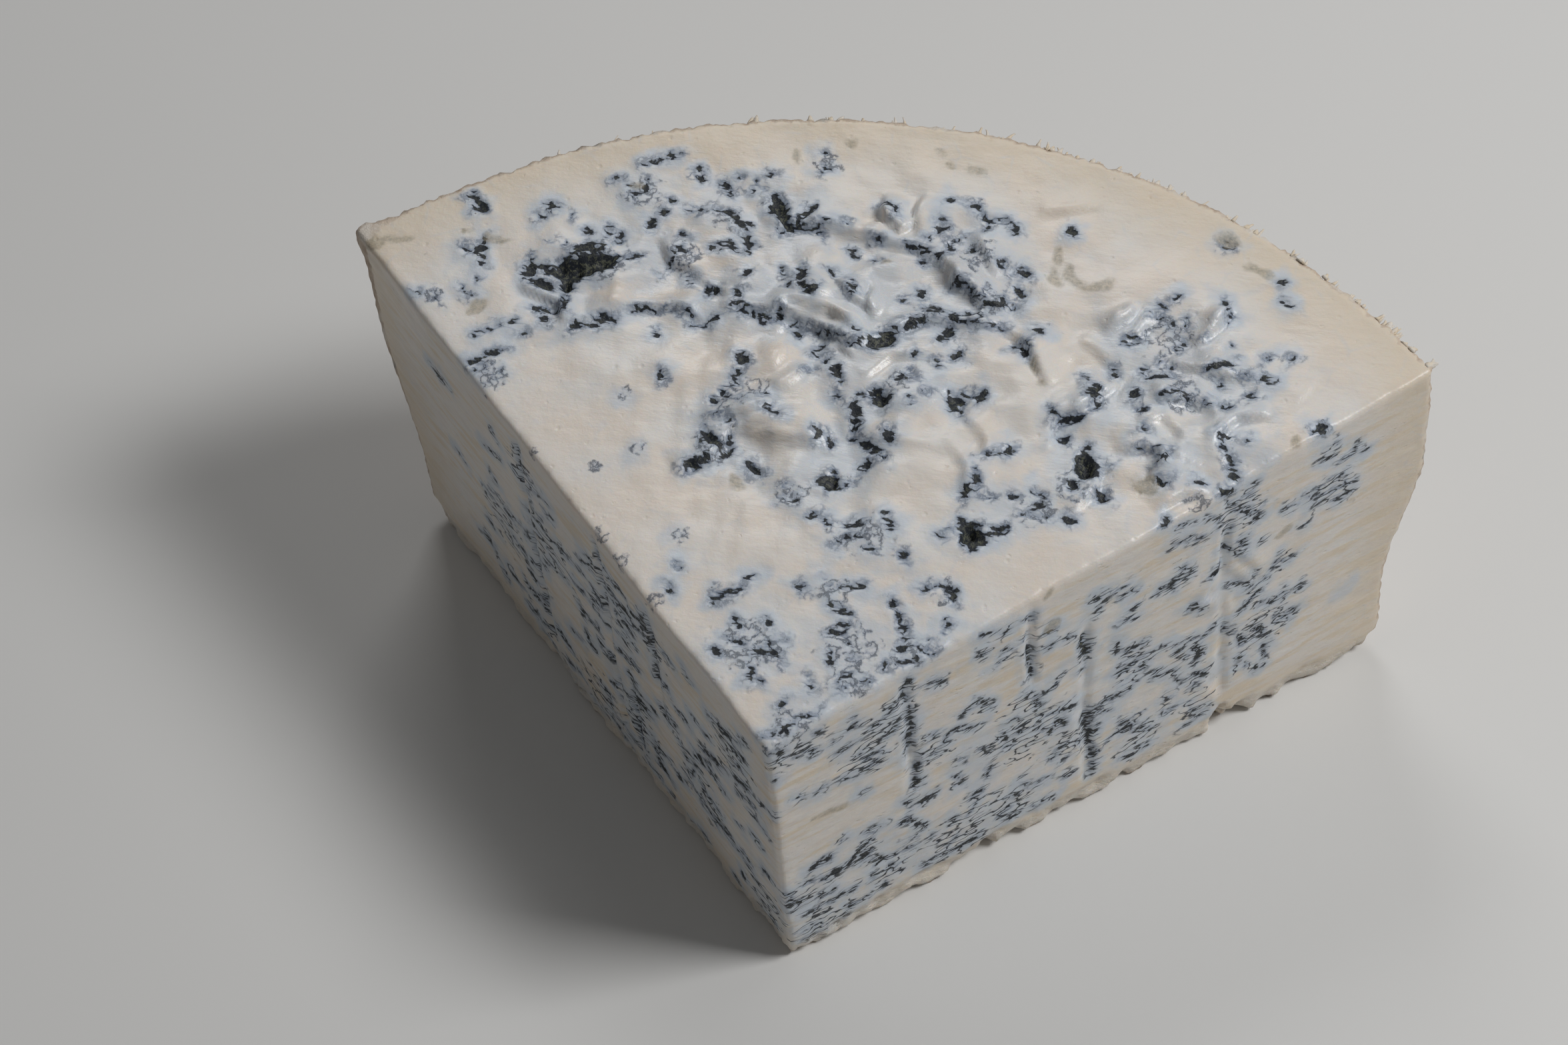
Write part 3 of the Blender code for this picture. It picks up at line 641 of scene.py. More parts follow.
def wedge_grid():
    """Places, four-cornered faces and five- or six-cornered faces of the whole closed surface.

    The sides are a band of columns round the outline: right face, rind, left face. The top is a
    fan that shares the band's last row; the foot is a fan half as fine, whose outer cells take in
    the band's in-between columns.
    """
    n = ACROSS
    even = np.arange(n) / n
    rind_turn = HALF_ANGLE * (1.0 - np.arange(2 * n) / n)
    reach = np.concatenate([even, np.ones(2 * n), 1.0 - even])
    turn = np.concatenate([np.full(n, HALF_ANGLE), rind_turn, np.full(n, -HALF_ANGLE)])
    levels = side_levels()
    columns = 4 * n
    band = [np.tile(reach, UP + 1), np.tile(turn, UP + 1), np.repeat(levels, columns)]
    number = np.arange((UP + 1) * columns).reshape(UP + 1, columns)
    following = np.roll(number, -1, axis=1)
    walls = np.stack([number[:-1], following[:-1], following[1:], number[1:]], axis=-1)
    quads = [walls.reshape(-1, 4)]

    def fan_numbers(row, stride, first):
        """Vertex numbers of a fan whose border is every stride-th vertex of one row of the band."""
        steps = n // stride
        border = row[::stride]
        numbers = np.empty((steps + 1, steps + 1), dtype=np.int64)
        numbers[1:-1, 1:-1] = first + np.arange((steps - 1) ** 2).reshape(steps - 1, steps - 1)
        numbers[:, 0] = border[: steps + 1]
        numbers[-1, :] = border[steps : 2 * steps + 1]
        numbers[::-1, -1] = border[2 * steps : 3 * steps + 1]
        numbers[0, 1:] = border[3 * steps :][::-1]
        return numbers

    def cells(numbers):
        """The four corners of every cell."""
        return np.stack([numbers[:-1, :-1], numbers[1:, :-1], numbers[1:, 1:], numbers[:-1, 1:]], axis=-1)

    top_reach, top_turn = fan(n)
    inner = (slice(1, -1), slice(1, -1))
    top = fan_numbers(number[-1], 1, number.size)
    quads.append(cells(top).reshape(-1, 4))
    foot_reach, foot_turn = fan(n // 2)
    foot = fan_numbers(number[0], 2, number.size + (n - 1) ** 2)
    foot_cells = cells(foot)
    quads.append(foot_cells[inner].reshape(-1, 4)[:, ::-1])
    edge = np.ones(foot_cells.shape[:2], dtype=bool)
    edge[inner] = False
    outer = []
    for cell in foot_cells[edge][:, ::-1]:
        corners = []
        for start, end in zip(cell, np.roll(cell, -1)):
            corners.append(int(start))
            gap = (end - start) % columns
            if max(start, end) < columns and gap in (2, columns - 2):
                corners.append(int((start + 1) % columns if gap == 2 else (end + 1) % columns))
        outer.append(corners)
    reach, turn, level = (
        np.concatenate(parts)
        for parts in zip(
            band,
            (top_reach[inner].ravel(), top_turn[inner].ravel(), np.ones((n - 1) ** 2)),
            (foot_reach[inner].ravel(), foot_turn[inner].ravel(), np.zeros((n // 2 - 1) ** 2)),
        )
    )
    return wedge_places(reach, turn, level), np.vstack(quads), outer


class Side:
    """One side of the wedge: its outward direction, how deep each place is below it, and where along."""

    def __init__(self, outward, depth, across):
        self.outward = np.broadcast_to(outward, (len(depth), 3))
        self.depth = depth
        self.across = across

    def near(self, reach):
        """1 on this side, dying away below it."""
        return np.exp(-((self.depth / reach) ** 2))


def wedge_sides(places):
    """The five sides, for every place."""
    from_point = places[:, :2] - POINT
    sides = {}
    for name, sign in (("right", 1.0), ("left", -1.0)):
        outward = np.array([sign * np.cos(HALF_ANGLE), -np.sin(HALF_ANGLE)])
        along = np.array([sign * np.sin(HALF_ANGLE), np.cos(HALF_ANGLE)])
        across = np.column_stack([from_point @ along, places[:, 2]])
        sides[name] = Side((*outward, 0.0), np.maximum(-(from_point @ outward), 0.0), across)
    top_depth = np.maximum(top_height(places[:, 1]) - places[:, 2], 0.0) * np.cos(TOP_TILT)
    sides["top"] = Side((0.0, -np.sin(TOP_TILT), np.cos(TOP_TILT)), top_depth, from_point)
    sides["foot"] = Side((0.0, 0.0, -1.0), places[:, 2].copy(), from_point)
    from_axis = places[:, :2] - AXIS
    radius = np.linalg.norm(from_axis, axis=1)
    outward = np.column_stack([from_axis / radius[:, None], np.zeros(len(places))])
    turned = np.arctan2(from_axis[:, 0], from_axis[:, 1]) * SIDE_RADIUS
    depth = np.maximum(wheel_radius(places[:, 2]) - radius, 0.0)
    sides["rind"] = Side(outward, depth, np.column_stack([turned, places[:, 2]]))
    return sides


def channel_depth(across, channels):
    """Half-round grooves, as deep as a rod sunk into the face, that waver and end softly."""
    x, up = across.T
    depth = np.zeros(len(x))
    upright = on_plane(x * 0.0, up)
    strength = 0.75 + 1.2 * layered_noise(on_plane(x, up), 9.0, 1, 32)
    for place, low, high in channels:
        aside = x - place + 1.2 * layered_noise(upright + place, 14.0, 2, 31)
        reach = CHANNEL_RADIUS**2 - aside**2
        groove = np.sqrt(np.clip(reach, 0.0, None)) - (CHANNEL_RADIUS - CHANNEL_DEPTH)
        ends = smooth_step(low - 1.5, low + 1.5, up) * (1.0 - smooth_step(high - 1.5, high + 6.0, up))
        depth = np.maximum(depth, np.clip(groove, 0.0, None) * ends)
    return depth * np.clip(strength, 0.3, 1.2)


def chip_depth(across, chips, places, seed):
    """Breaks along the foot edge, as depths that grow with the distance below the break's own edge.

    That edge follows rough noise, and each chip lifts it by its height times exp(-(distance /
    half-width)^4).
    """
    x, up = across.T
    rough = layered_noise(places, 3.0, 3, seed)
    uneven = 3.0 * layered_noise(places, (17.0, 13.0, 40.0), 2, seed + 3)
    lift = np.clip(0.4 + 1.9 * rough + uneven, 0.0, None)
    for place, height, half_width in chips:
        chip = height * np.exp(-(((x - place) / half_width) ** 4))
        lift = np.maximum(lift, chip * (1.0 + 0.5 * rough))
    return np.clip(lift - up, 0.0, None) * CHIP_SLOPE


def top_relief(side, places, veins, settings):
    """Height of the top: long waves, folds, wrinkles, knife marks, sunk pockets with lips, and grain.

    Folds and wrinkles gather where the top is folded. The wrinkles run one way on the left and
    another on the right, and a sine across the knife's way makes the washboard.
    """
    x, y = side.across.T
    middle = blooms(side.across, FOLDED_SPOTS)
    drawn = ridges(on_plane(x + 0.35 * y, y - 0.2 * x), (19.0, 7.0, 9.0), 1, 11)
    turned = ridges(on_plane(x * 0.8 + y * 0.6, y * 0.8 - x * 0.6), (6.0, 16.0, 9.0), 1, 12)
    right = smooth_step(30.0, 50.0, x)
    wrinkles = drawn * (1.0 - right) + turned * right
    waves = 0.7 * layered_noise(places, 34.0, 2, 13)
    lumps = (0.15 + 2.9 * middle) * layered_noise(places, 12.0, 2, 14)
    drag = np.sin(2.0 * pi * (x + 0.15 * y) / WASHBOARD_PITCH + 4.0 * layered_noise(places, 15.0, 1, 18))
    washboard = 0.05 * drag * blooms(side.across, WASHBOARD_SPOTS)
    scratches = 0.05 * ridges(on_plane(x, y), (22.0, 0.9, 9.0), 1, 15) * (1.0 - middle)
    height = waves + lumps + washboard + scratches
    folded = TOP_FOLDING * fold_height(side.across, TOP_FOLDS) + 0.7 * (wrinkles - 0.6) * middle**1.5
    height += settings.fold_height * folded
    height += vein_relief(places, veins, settings)
    height += (0.04 + 0.1 * middle) * layered_noise(places, 2.6, 2, 16)
    return height


def vein_relief(places, veins, settings):
    """Pockets sink inside a vein, with rough floors, and a bell-shaped lip stands round each."""
    rough = layered_noise(places, 1.7, 2, 17)
    sunk = np.clip(0.2 - veins, 0.0, 2.6) ** 1.2
    lip = np.exp(-(((veins - 1.2) / 0.8) ** 2))
    return -settings.pocket_depth * sunk * (0.75 + 1.1 * rough) + 0.14 * lip


def cut_relief(side, places, veins, settings, channels, folds, chips, seed):
    """Height of a cut face: long waves, level knife marks, channels, folds, pits and a crumbly foot."""
    across, up = side.across.T
    waves = 0.6 * layered_noise(places, 38.0, 2, seed)
    drawn = 0.3 * layered_noise(on_plane(across, up - 0.12 * across), (14.0, 2.4, 9.0), 2, seed + 3)
    foot = 1.0 - smooth_step(4.0, 6.0, up + 3.5 * layered_noise(places, 12.0, 1, seed + 6))
    clods = 0.8 * layered_noise(places, 15.0, 1, seed + 15)
    crumbly = (1.1 * layered_noise(places, 3.4, 3, seed + 7) + clods - 0.3) * foot
    height = waves + drawn * (1.0 - foot) + crumbly + CUT_FOLDING * fold_height(side.across, folds)
    height -= channel_depth(side.across, channels)
    height -= chip_depth(side.across, chips, places, seed + 9)
    height += 0.35 * vein_relief(places, veins, settings)
    height += 0.1 * layered_noise(places, 2.4, 2, seed + 12)
    return height


def rind_relief(side, places, settings):
    """Height of the rind: dents, level wrinkles, the band's crease, dry grain, pocks and a torn rim.

    The crease and the torn rim are bell-shaped in height; the drawn-out corner on the left is
    bell-shaped both along the rim and in height.
    """
    turned, up = side.across.T
    dents = 0.7 * layered_noise(places, 24.0, 2, 61)
    level = 0.16 * layered_noise(on_plane(turned, up), (26.0, 3.0, 9.0), 2, 64)
    crease = -0.9 * np.exp(-(((up - BAND_LINE - 0.8 * np.sin(turned / 31.0)) / 1.2) ** 2))
    crease *= 0.6 + 1.4 * layered_noise(places, 16.0, 1, 66)
    grain = settings.rind_grain * layered_noise(places, 2.4, 3, 67)
    pocks = -0.8 * smooth_step(0.28, 0.5, layered_noise(places, 5.0, 1, 68))
    rim = np.exp(-(((top_height(places[:, 1]) - up) / 1.6) ** 2))
    torn = 1.1 * layered_noise(places, 1.9, 2, 77) * rim
    from_corner = (turned / HALF_ARC + 1.0) * HALF_ARC
    corner = np.exp(-((from_corner / CORNER_REACH) ** 2) - ((up - CORNER_HEIGHT) / CORNER_REACH) ** 2)
    return dents + level + crease + grain + pocks + torn + CORNER_PULL * corner - RIND_INSET


def needle_holes():
    """Where the needles went into the foot: a grid whose holes stray, kept inside the wedge."""
    rng = np.random.default_rng(71)
    holes = []
    for row in range(-4, 5):
        for number in range(1, 6):
            x = row * HOLE_SPACING[0] + rng.normal(0.0, HOLE_STRAY)
            y = number * HOLE_SPACING[1] + rng.normal(0.0, HOLE_STRAY)
            if abs(x) < HOLE_FAN * y and np.hypot(x, y) < HOLES_WITHIN:
                holes.append((x, y, HOLE_RADIUS))
    return tuple(holes)


def foot_relief(side, places):
    """Depth of the foot below its plane, always inward: soft dents, grain and needle holes."""
    dents = 0.25 * np.abs(layered_noise(places, 15.0, 2, 72))
    grain = 0.12 * np.abs(layered_noise(places, 2.6, 2, 74))
    return -(dents + grain) - HOLE_DEPTH * blooms(side.across, needle_holes())


# For each veined side: how wide its veins are, how much thinner inside a net, and its growths
VEINED = {
    "top": (0.85, 0.3, TOP_VEINS, TOP_OLIVE, TOP_NETS, TOP_HAZE),
    "right": (0.7, 0.05, RIGHT_VEINS, RIGHT_OLIVE, RIGHT_NETS, RIGHT_HAZE),
    "left": (0.6, 0.1, LEFT_VEINS, (), LEFT_NETS, LEFT_HAZE),
}
# For each cut face: its channels, folds, chips and first seed
CUTS = {
    "right": (RIGHT_CHANNELS, RIGHT_FOLDS, RIGHT_CHIPS, 21),
    "left": (LEFT_CHANNELS, (), LEFT_CHIPS, 41),
}


def shaped_wedge(settings):
    """The wedge's places with their relief, its faces, and the fields that its material reads.

    Each side's relief moves a place along that side's outward direction, by its height times how
    near the side is. Near an edge between two sides it sinks a little, which softens the edge.
    """
    places, quads, outer = wedge_grid()
    sides = wedge_sides(places)
    count = len(places)
    near = {name: side.near(BLEND_REACH) for name, side in sides.items()}
    fields = {name: np.full(count, FAR) for name in ("vein", "olive")}
    fields |= {name: np.zeros(count) for name in ("net", "haze")}
    own_veins = {}
    for name, (share, thinning, veins, olive, nets, haze) in VEINED.items():
        chosen = near[name] > LEAST_NEARNESS
        across = sides[name].across[chosen]
        below = sides[name].depth[chosen] * DEPTH_SHARE
        woven = blooms(across, nets)
        distance = np.full(count, FAR)
        distance[chosen] = vein_distance(across, veins, share) + below + thinning * woven
        own_veins[name] = distance
        fields["vein"] = np.minimum(fields["vein"], distance)
        fields["olive"][chosen] = np.minimum(fields["olive"][chosen], vein_distance(across, olive) + below)
        for kind, spots in (("net", woven), ("haze", blooms(across, haze))):
            fields[kind][chosen] = np.maximum(fields[kind][chosen], spots * near[name][chosen])

    relief = {
        "top": top_relief(sides["top"], places, own_veins["top"], settings),
        "rind": rind_relief(sides["rind"], places, settings),
        "foot": foot_relief(sides["foot"], places),
    }
    for name, plan in CUTS.items():
        relief[name] = cut_relief(sides[name], places, own_veins[name], settings, *plan)
    moved = places.copy()
    ragged = 1.0 + 1.6 * np.clip(layered_noise(places, 2.5, 2, 81), 0.0, 1.0)
    for name, side in sides.items():
        others = np.max([other.near(EDGE_REACH) for key, other in sides.items() if key != name], axis=0)
        height = relief[name] - EDGE_SOFTENING * others * ragged
        moved += side.outward * (height * near[name])[:, None]
    moved[:, 2] = np.maximum(moved[:, 2], 0.0)

    from_point, inside = sides["top"].across, sides["rind"].depth
    broken = blooms(from_point, BROKEN_CORNER)
    fields["rind"] = np.minimum(inside, sides["foot"].depth * 1.6) - 2.5 * broken
    above_strip = smooth_step(*STRIP_TOP, places[:, 2] + 3.0 * layered_noise(places, 10.0, 2, 83))
    fields["foot"] = (1.0 - above_strip) * (inside > 1.0)
    fields["side"] = 1.0 - np.maximum(near["top"], near["foot"] * (places[:, 2] < 0.5))
    fields["wet"] = blooms(from_point, WET_SPOTS) * near["top"]
    return moved, quads, outer, fields


def make_object(name, places, faces, material):
    """A mesh object in the scene from places in millimetres."""
    mesh = bpy.data.meshes.new(name)
    mesh.from_pydata(places * METRES, [], faces)
    mesh.validate()
    mesh.shade_smooth()
    mesh.materials.append(material)
    piece = bpy.data.objects.new(name, mesh)
    bpy.context.scene.collection.objects.link(piece)
    return piece


def add_fields(mesh, fields):
    """Stores each field on the mesh's points."""
    for name, values in fields.items():
        attribute = mesh.attributes.new(name, "FLOAT", "POINT")
        attribute.data.foreach_set("value", values.astype(np.float32))


# ---------------------------------------------------------------------------------------------
# Materials
# ---------------------------------------------------------------------------------------------
class Value:
    """A socket that varies over a surface. Sums on it add Math nodes."""

    def __init__(self, nodes, socket):
        self.nodes = nodes
        self.socket = socket

    def math(self, operation, *operands):
        """A Math node on the operands."""
        return self.nodes.add("ShaderNodeMath", {"operation": operation}, dict(enumerate(operands)))

    def __add__(self, other):
        return self.math("ADD", self, other)

    __radd__ = __add__

    def __sub__(self, other):
        return self.math("SUBTRACT", self, other)

    def __rsub__(self, other):
        return self.math("SUBTRACT", other, self)

    def __mul__(self, other):
        return self.math("MULTIPLY", self, other)

    __rmul__ = __mul__

    def __abs__(self):
        return self.math("ABSOLUTE", self)

    def larger(self, other):
        """The larger of the two at each place."""
        return self.math("MAXIMUM", self, other)

    def step(self, low, high):
        """0 at low and 1 at high, smoothly; low may be the higher one."""
        sockets = {"Value": self, "From Min": low, "From Max": high}
        return self.nodes.add("ShaderNodeMapRange", {"interpolation_type": "SMOOTHSTEP"}, sockets)


class Nodes:
    """The node tree of one new material."""

    def __init__(self, name):
        self.material = bpy.data.materials.new(name)
        self.material.use_nodes = True
        self.tree = self.material.node_tree
        self.tree.nodes.clear()

    def add(self, kind, settings=None, sockets=None, output=0):
        """A node of that type: its settings, then its sockets' values or links. Returns one output."""
        node = self.tree.nodes.new(kind)
        for name, value in (settings or {}).items():
            setattr(node, name, value)
        for key, value in (sockets or {}).items():
            if isinstance(value, Value):
                self.tree.links.new(value.socket, node.inputs[key])
            else:
                node.inputs[key].default_value = value
        return Value(self, node.outputs[output]) if len(node.outputs) else None

    def field(self, name):
        """One of the mesh's own fields."""
        return self.add("ShaderNodeAttribute", {"attribute_name": name}, output="Fac")

    def places(self, stretch=(1.0, 1.0, 1.0)):
        """Object coordinates in millimetres, stretched."""
        object_places = self.add("ShaderNodeTexCoord", output="Object")
        scale = tuple(s / METRES for s in stretch)
        return self.add("ShaderNodeVectorMath", {"operation": "MULTIPLY"}, {0: object_places, 1: scale})

    def noise(self, places, size, detail=2.0, roughness=0.5):
        """Noise about 0, from -0.5 to 0.5, with features of that size in millimetres."""
        sockets = {"Vector": places, "Scale": 1.0 / size, "Detail": detail, "Roughness": roughness}
        return self.add("ShaderNodeTexNoise", None, sockets) - 0.5

    def warped(self, places, size, amount):
        """Places pushed about by noise of that size, by up to about half that amount of millimetres."""
        sockets = {"Vector": places, "Scale": 1.0 / size, "Detail": 2.0}
        shift = self.add("ShaderNodeTexNoise", None, sockets, "Color")
        sockets = {0: shift, 1: (amount,) * 3, 2: places}
        return self.add("ShaderNodeVectorMath", {"operation": "MULTIPLY_ADD"}, sockets)

    def cells(self, places, size, feature="F1"):
        """Distance from the nearest centre of cells of that size, or from their edges."""
        sockets = {"Vector": places, "Scale": 1.0 / size}
        return self.add("ShaderNodeTexVoronoi", {"feature": feature}, sockets, "Distance")

    def mix(self, factor, first, second):
        """A colour that goes from first to second."""
        sockets = {0: factor, 6: colour(first), 7: colour(second)}
        return self.add("ShaderNodeMix", {"data_type": "RGBA"}, sockets, output=2)

    def bump(self, strength, distance, height):
        """The normal of a surface raised by height times distance."""
        sockets = {"Strength": strength, "Distance": distance, "Height": height}
        return self.add("ShaderNodeBump", None, sockets)

    def surface(self, sockets):
        """A Principled surface."""
        return self.add("ShaderNodeBsdfPrincipled", None, sockets)

    def finish(self, shader):
        """Sends a surface to the material's output."""
        self.add("ShaderNodeOutputMaterial", None, {"Surface": shader})
        return self.material


def colour(value):
    """A colour socket's value from a link or three numbers."""
    return value if isinstance(value, Value) else (*value, 1.0)


# How far light travels in the paste: shares for red, green and blue, and their scale in metres
PASTE_LIGHT_REACH = (1.0, 0.7, 0.45)
PASTE_LIGHT_SCALE = 0.0014


class CheeseNodes(Nodes):
    """The cheese's node tree, with the fields and the noises that several of its finishes share."""

    def __init__(self, name):
        super().__init__(name)
        self.round = self.places()  # noise on these places has round features
        self.flat = self.places((1.0, 1.0, 2.4))  # and on these its features lie flat
        self.vein, self.olive, self.net, self.haze = map(self.field, ("vein", "olive", "net", "haze"))
        self.rind, self.side, self.wet, self.foot = map(self.field, ("rind", "side", "wet", "foot"))
        self.soft = self.noise(self.round, 5.0, 3.0)
        self.breaks = self.noise(self.flat, 1.3, 4.0, 0.65)
        self.speckle = self.noise(self.round, 0.8, 3.0, 0.7)


def paste_colours(nodes, settings, patches):
    """The paste's colour, without its mould.

    It has warm and cool patches and a deeper tone by the rind, level streaks on the cut faces, pale
    dots, and faint seams between the curds.
    """
    soft, side = nodes.soft, nodes.side
    cool = (patches * 1.6 + 0.5).step(0.2, 0.8)
    base = nodes.mix(cool, settings.paste_colour, settings.cool_paste_colour)
    near_rim = (nodes.rind + 8.0 * nodes.noise(nodes.round, 14.0)).step(22.0, 0.0)
    base = nodes.mix(side * (1.0 - near_rim) * 0.5, base, settings.cool_paste_colour)
    base = nodes.mix(near_rim * 0.7, base, settings.rim_paste_colour)
    streaks = nodes.noise(nodes.places((0.35, 0.35, 2.6)), 5.0, 4.0, 0.6)
    base = nodes.mix(side * streaks.step(-0.04, 0.14) * 0.8, base, settings.rim_paste_colour)
    base = nodes.mix(side * streaks.step(-0.02, -0.2) * 0.3, base, settings.rind_colour)
    dots = nodes.cells(nodes.round, 2.4).step(0.2, 0.08) * soft.step(-0.06, 0.1)
    base = nodes.mix(dots * 0.3, base, settings.powder_colour)
    seams = nodes.cells(nodes.flat, 9.0, "DISTANCE_TO_EDGE").step(0.06, 0.0)
    return nodes.mix(seams * soft.step(-0.05, 0.15) * 0.2, base, settings.haze_colour)


def vein_masks(nodes):
    """Where the veins are dark, and where their fringe is.

    A dark line runs wherever noise passes through 0, and it lies level on the cut faces. The lines
    run together near a vein's middle and thin out into nets round it.
    """
    vein, side, soft, breaks = nodes.vein, nodes.side, nodes.soft, nodes.breaks
    stroke = abs(nodes.noise(nodes.places((0.72, 1.35, 1.0)), 2.7, 2.5, 0.5))
    level_stroke = abs(nodes.noise(nodes.places((1.0, 1.0, 3.4)), 4.4, 2.0, 0.5))
    folded = stroke + (level_stroke - stroke) * side
    ragged = vein + 7.5 * folded + 1.8 * soft + 0.12 * side - 0.38
    hair = abs(nodes.noise(nodes.round, 2.9, 4.0, 0.55))
    level_hair = abs(nodes.noise(nodes.places((1.0, 1.0, 3.2)), 5.0, 1.5, 0.5))
    thin = hair + (level_hair - hair) * side
    reached = (vein + 6.0 * nodes.noise(nodes.round, 3.6, 1.0)).step(1.9, 0.1)
    netted = (nodes.net + 1.5 * nodes.noise(nodes.flat, 3.4, 2.0)).step(0.4, 0.6)
    drawn = (thin + (0.16 - 0.12 * side) * breaks).step(0.04, 0.012)
    line = drawn * (reached * (0.45 + 0.55 * side)).larger(netted)
    specks = nodes.cells(nodes.warped(nodes.round, 1.2, 0.5), 2.2).step(0.2, 0.12)
    specks = specks * reached * breaks.step(0.0, -0.1)
    dark = ragged.step(0.24, -0.1).larger(line * (0.5 + 0.45 * side)).larger(specks * 0.7)
    fringe = ragged.step(1.3, -0.1)
    fringe = fringe.larger(thin.step(0.12 - 0.04 * side, 0.0) * reached.larger(netted) * 0.75)
    return dark, fringe * (0.7 + 1.3 * soft - 0.16 * side)


def mould_colours(nodes, settings, base, dark, fringe):
    """Bloom, a grey-blue fringe, and blue-black veins with olive grey specks towards their middle."""
    bloom = (nodes.haze + 1.5 * nodes.soft).step(0.25, 0.95) * 0.75
    bloom = bloom.larger((nodes.vein + 8.0 * nodes.soft).step(4.0, 0.2))
    base = nodes.mix(bloom * 0.8, base, settings.haze_colour)
    base = nodes.mix(fringe, base, settings.fringe_colour)
    grey = nodes.speckle.step(-0.03, 0.12) * (0.3 + 0.7 * nodes.vein.step(-0.2, -1.2))
    core = nodes.mix(grey, settings.vein_colour, settings.olive_colour)
    return nodes.mix(dark, base, core)


def strip_and_olive_colours(nodes, settings, base):
    """The crumbly strip along the foot, which hides most of the veins, and the olive growth."""
    strip = nodes.foot * (0.75 + 1.6 * nodes.breaks)
    base = nodes.mix(strip, base, settings.powder_colour)
    old = (nodes.olive + 3.5 * nodes.soft).step(0.9, -0.4)
    dusty = nodes.mix(nodes.speckle.step(-0.4, 0.5), settings.olive_colour, settings.rim_paste_colour)
    return nodes.mix(old * 0.65, base, dusty)


def rind_colours(nodes, settings, grit):
    """Beige and brown, with powdery pale and blue-grey patches and dark grit."""
    mould = nodes.noise(nodes.round, 11.0, 5.0, 0.62)
    powder = nodes.noise(nodes.round, 4.0, 4.0, 0.7)
    shaded = (powder * 1.8 + 0.5).step(0.2, 0.8)
    skin = nodes.mix(shaded, settings.rind_colour, settings.rind_shade_colour)
    skin = nodes.mix(mould.step(0.0, 0.14) * 0.85, skin, settings.powder_colour)
    skin = nodes.mix((powder * 0.3 - mould).step(0.07, 0.2) * 0.6, skin, settings.rind_blue_colour)
    return nodes.mix(grit.step(0.05, 0.2) * 0.35, skin, settings.rind_shade_colour)


def fine_relief(nodes, dark, outside, grain, grit):
    """The relief too fine for the mesh: grain, curd, sunk veins, satin knife marks, grit and pores."""
    curd = nodes.noise(nodes.flat, 3.2, 3.0, 0.55)
    satin = nodes.noise(nodes.places((0.35, 1.5, 1.0)), 2.2, 3.0, 0.6)
    pores = nodes.cells(nodes.flat, 2.6).step(0.3, 0.0) * curd.step(0.0, 0.1)
    height = grain * (0.4 + outside * 1.6) + curd - dark * 0.6 + nodes.speckle * dark * 1.6
    height = height + satin * (0.5 + 1.6 * nodes.wet) * (1.0 - nodes.side) + grit * outside * 1.2
    return height - pores * 0.8 + nodes.foot * nodes.breaks * 5.0


def cheese_material(settings):
    """Moist paste that lets light in, and its mould and dry rind, which don't."""
    nodes = CheeseNodes("cheese_paste_and_rind")
    patches = nodes.noise(nodes.round, 16.0, 3.0)
    grain = nodes.noise(nodes.flat, 0.7, 4.0, 0.65)
    grit = nodes.noise(nodes.round, 0.9, 3.0, 0.7)
    outside = (nodes.rind + 2.2 * nodes.noise(nodes.round, 1.6, 3.0, 0.65)).step(1.0, 0.15)
    dark, fringe = vein_masks(nodes)

    base = paste_colours(nodes, settings, patches)
    base = mould_colours(nodes, settings, base, dark, fringe)
    base = strip_and_olive_colours(nodes, settings, base)
    base = nodes.mix(outside, base, rind_colours(nodes, settings, grit))
    roughness = 0.38 + 0.2 * patches - 0.12 * nodes.wet + 0.15 * dark + 0.42 * outside + grain * 0.25
    height = fine_relief(nodes, dark, outside, grain, grit)
    bump = nodes.bump(0.55, settings.grain_height, height)

    shared = {"Base Color": base, "Roughness": roughness, "Normal": bump}
    moist = {
        "IOR": 1.45,
        "Coat Weight": (0.1 + 0.28 * nodes.wet) * (1.0 - outside),
        "Coat Roughness": 0.3,
        "Subsurface Weight": settings.translucency,
        "Subsurface Radius": PASTE_LIGHT_REACH,
        "Subsurface Scale": PASTE_LIGHT_SCALE,
    }
    paste = nodes.surface(shared | moist)
    dry = nodes.surface(shared | {"IOR": 1.4})
    sockets = {0: dark.larger(outside), 1: paste, 2: dry}
    return nodes.finish(nodes.add("ShaderNodeMixShader", None, sockets))


def crumb_material(settings):
    """Dry crumbs of rind and paste."""
    nodes = Nodes("rim_crumb")
    places = nodes.places()
    shade = nodes.noise(places, 1.5, 3.0)
    pasty = (shade * 2.0 + 0.5).step(0.2, 0.8)
    base = nodes.mix(pasty, settings.powder_colour, settings.rim_paste_colour)
    bump = nodes.bump(0.5, settings.grain_height, nodes.noise(places, 0.4, 3.0))
    sockets = {"Base Color": base, "Roughness": 0.8 + shade * 0.2, "Normal": bump}
    return nodes.finish(nodes.surface(sockets))


def plain_material(name, shade, roughness):
    """An even finish for the stage."""
    nodes = Nodes(name)
    return nodes.finish(nodes.surface({"Base Color": colour(shade), "Roughness": roughness}))


# ---------------------------------------------------------------------------------------------
# Crumbs along the rim
# ---------------------------------------------------------------------------------------------
CRUMB_RINGS = 4
CRUMB_SIDES = 6
CRUMB_ROOT = 0.8  # how deep a crumb starts below the rind


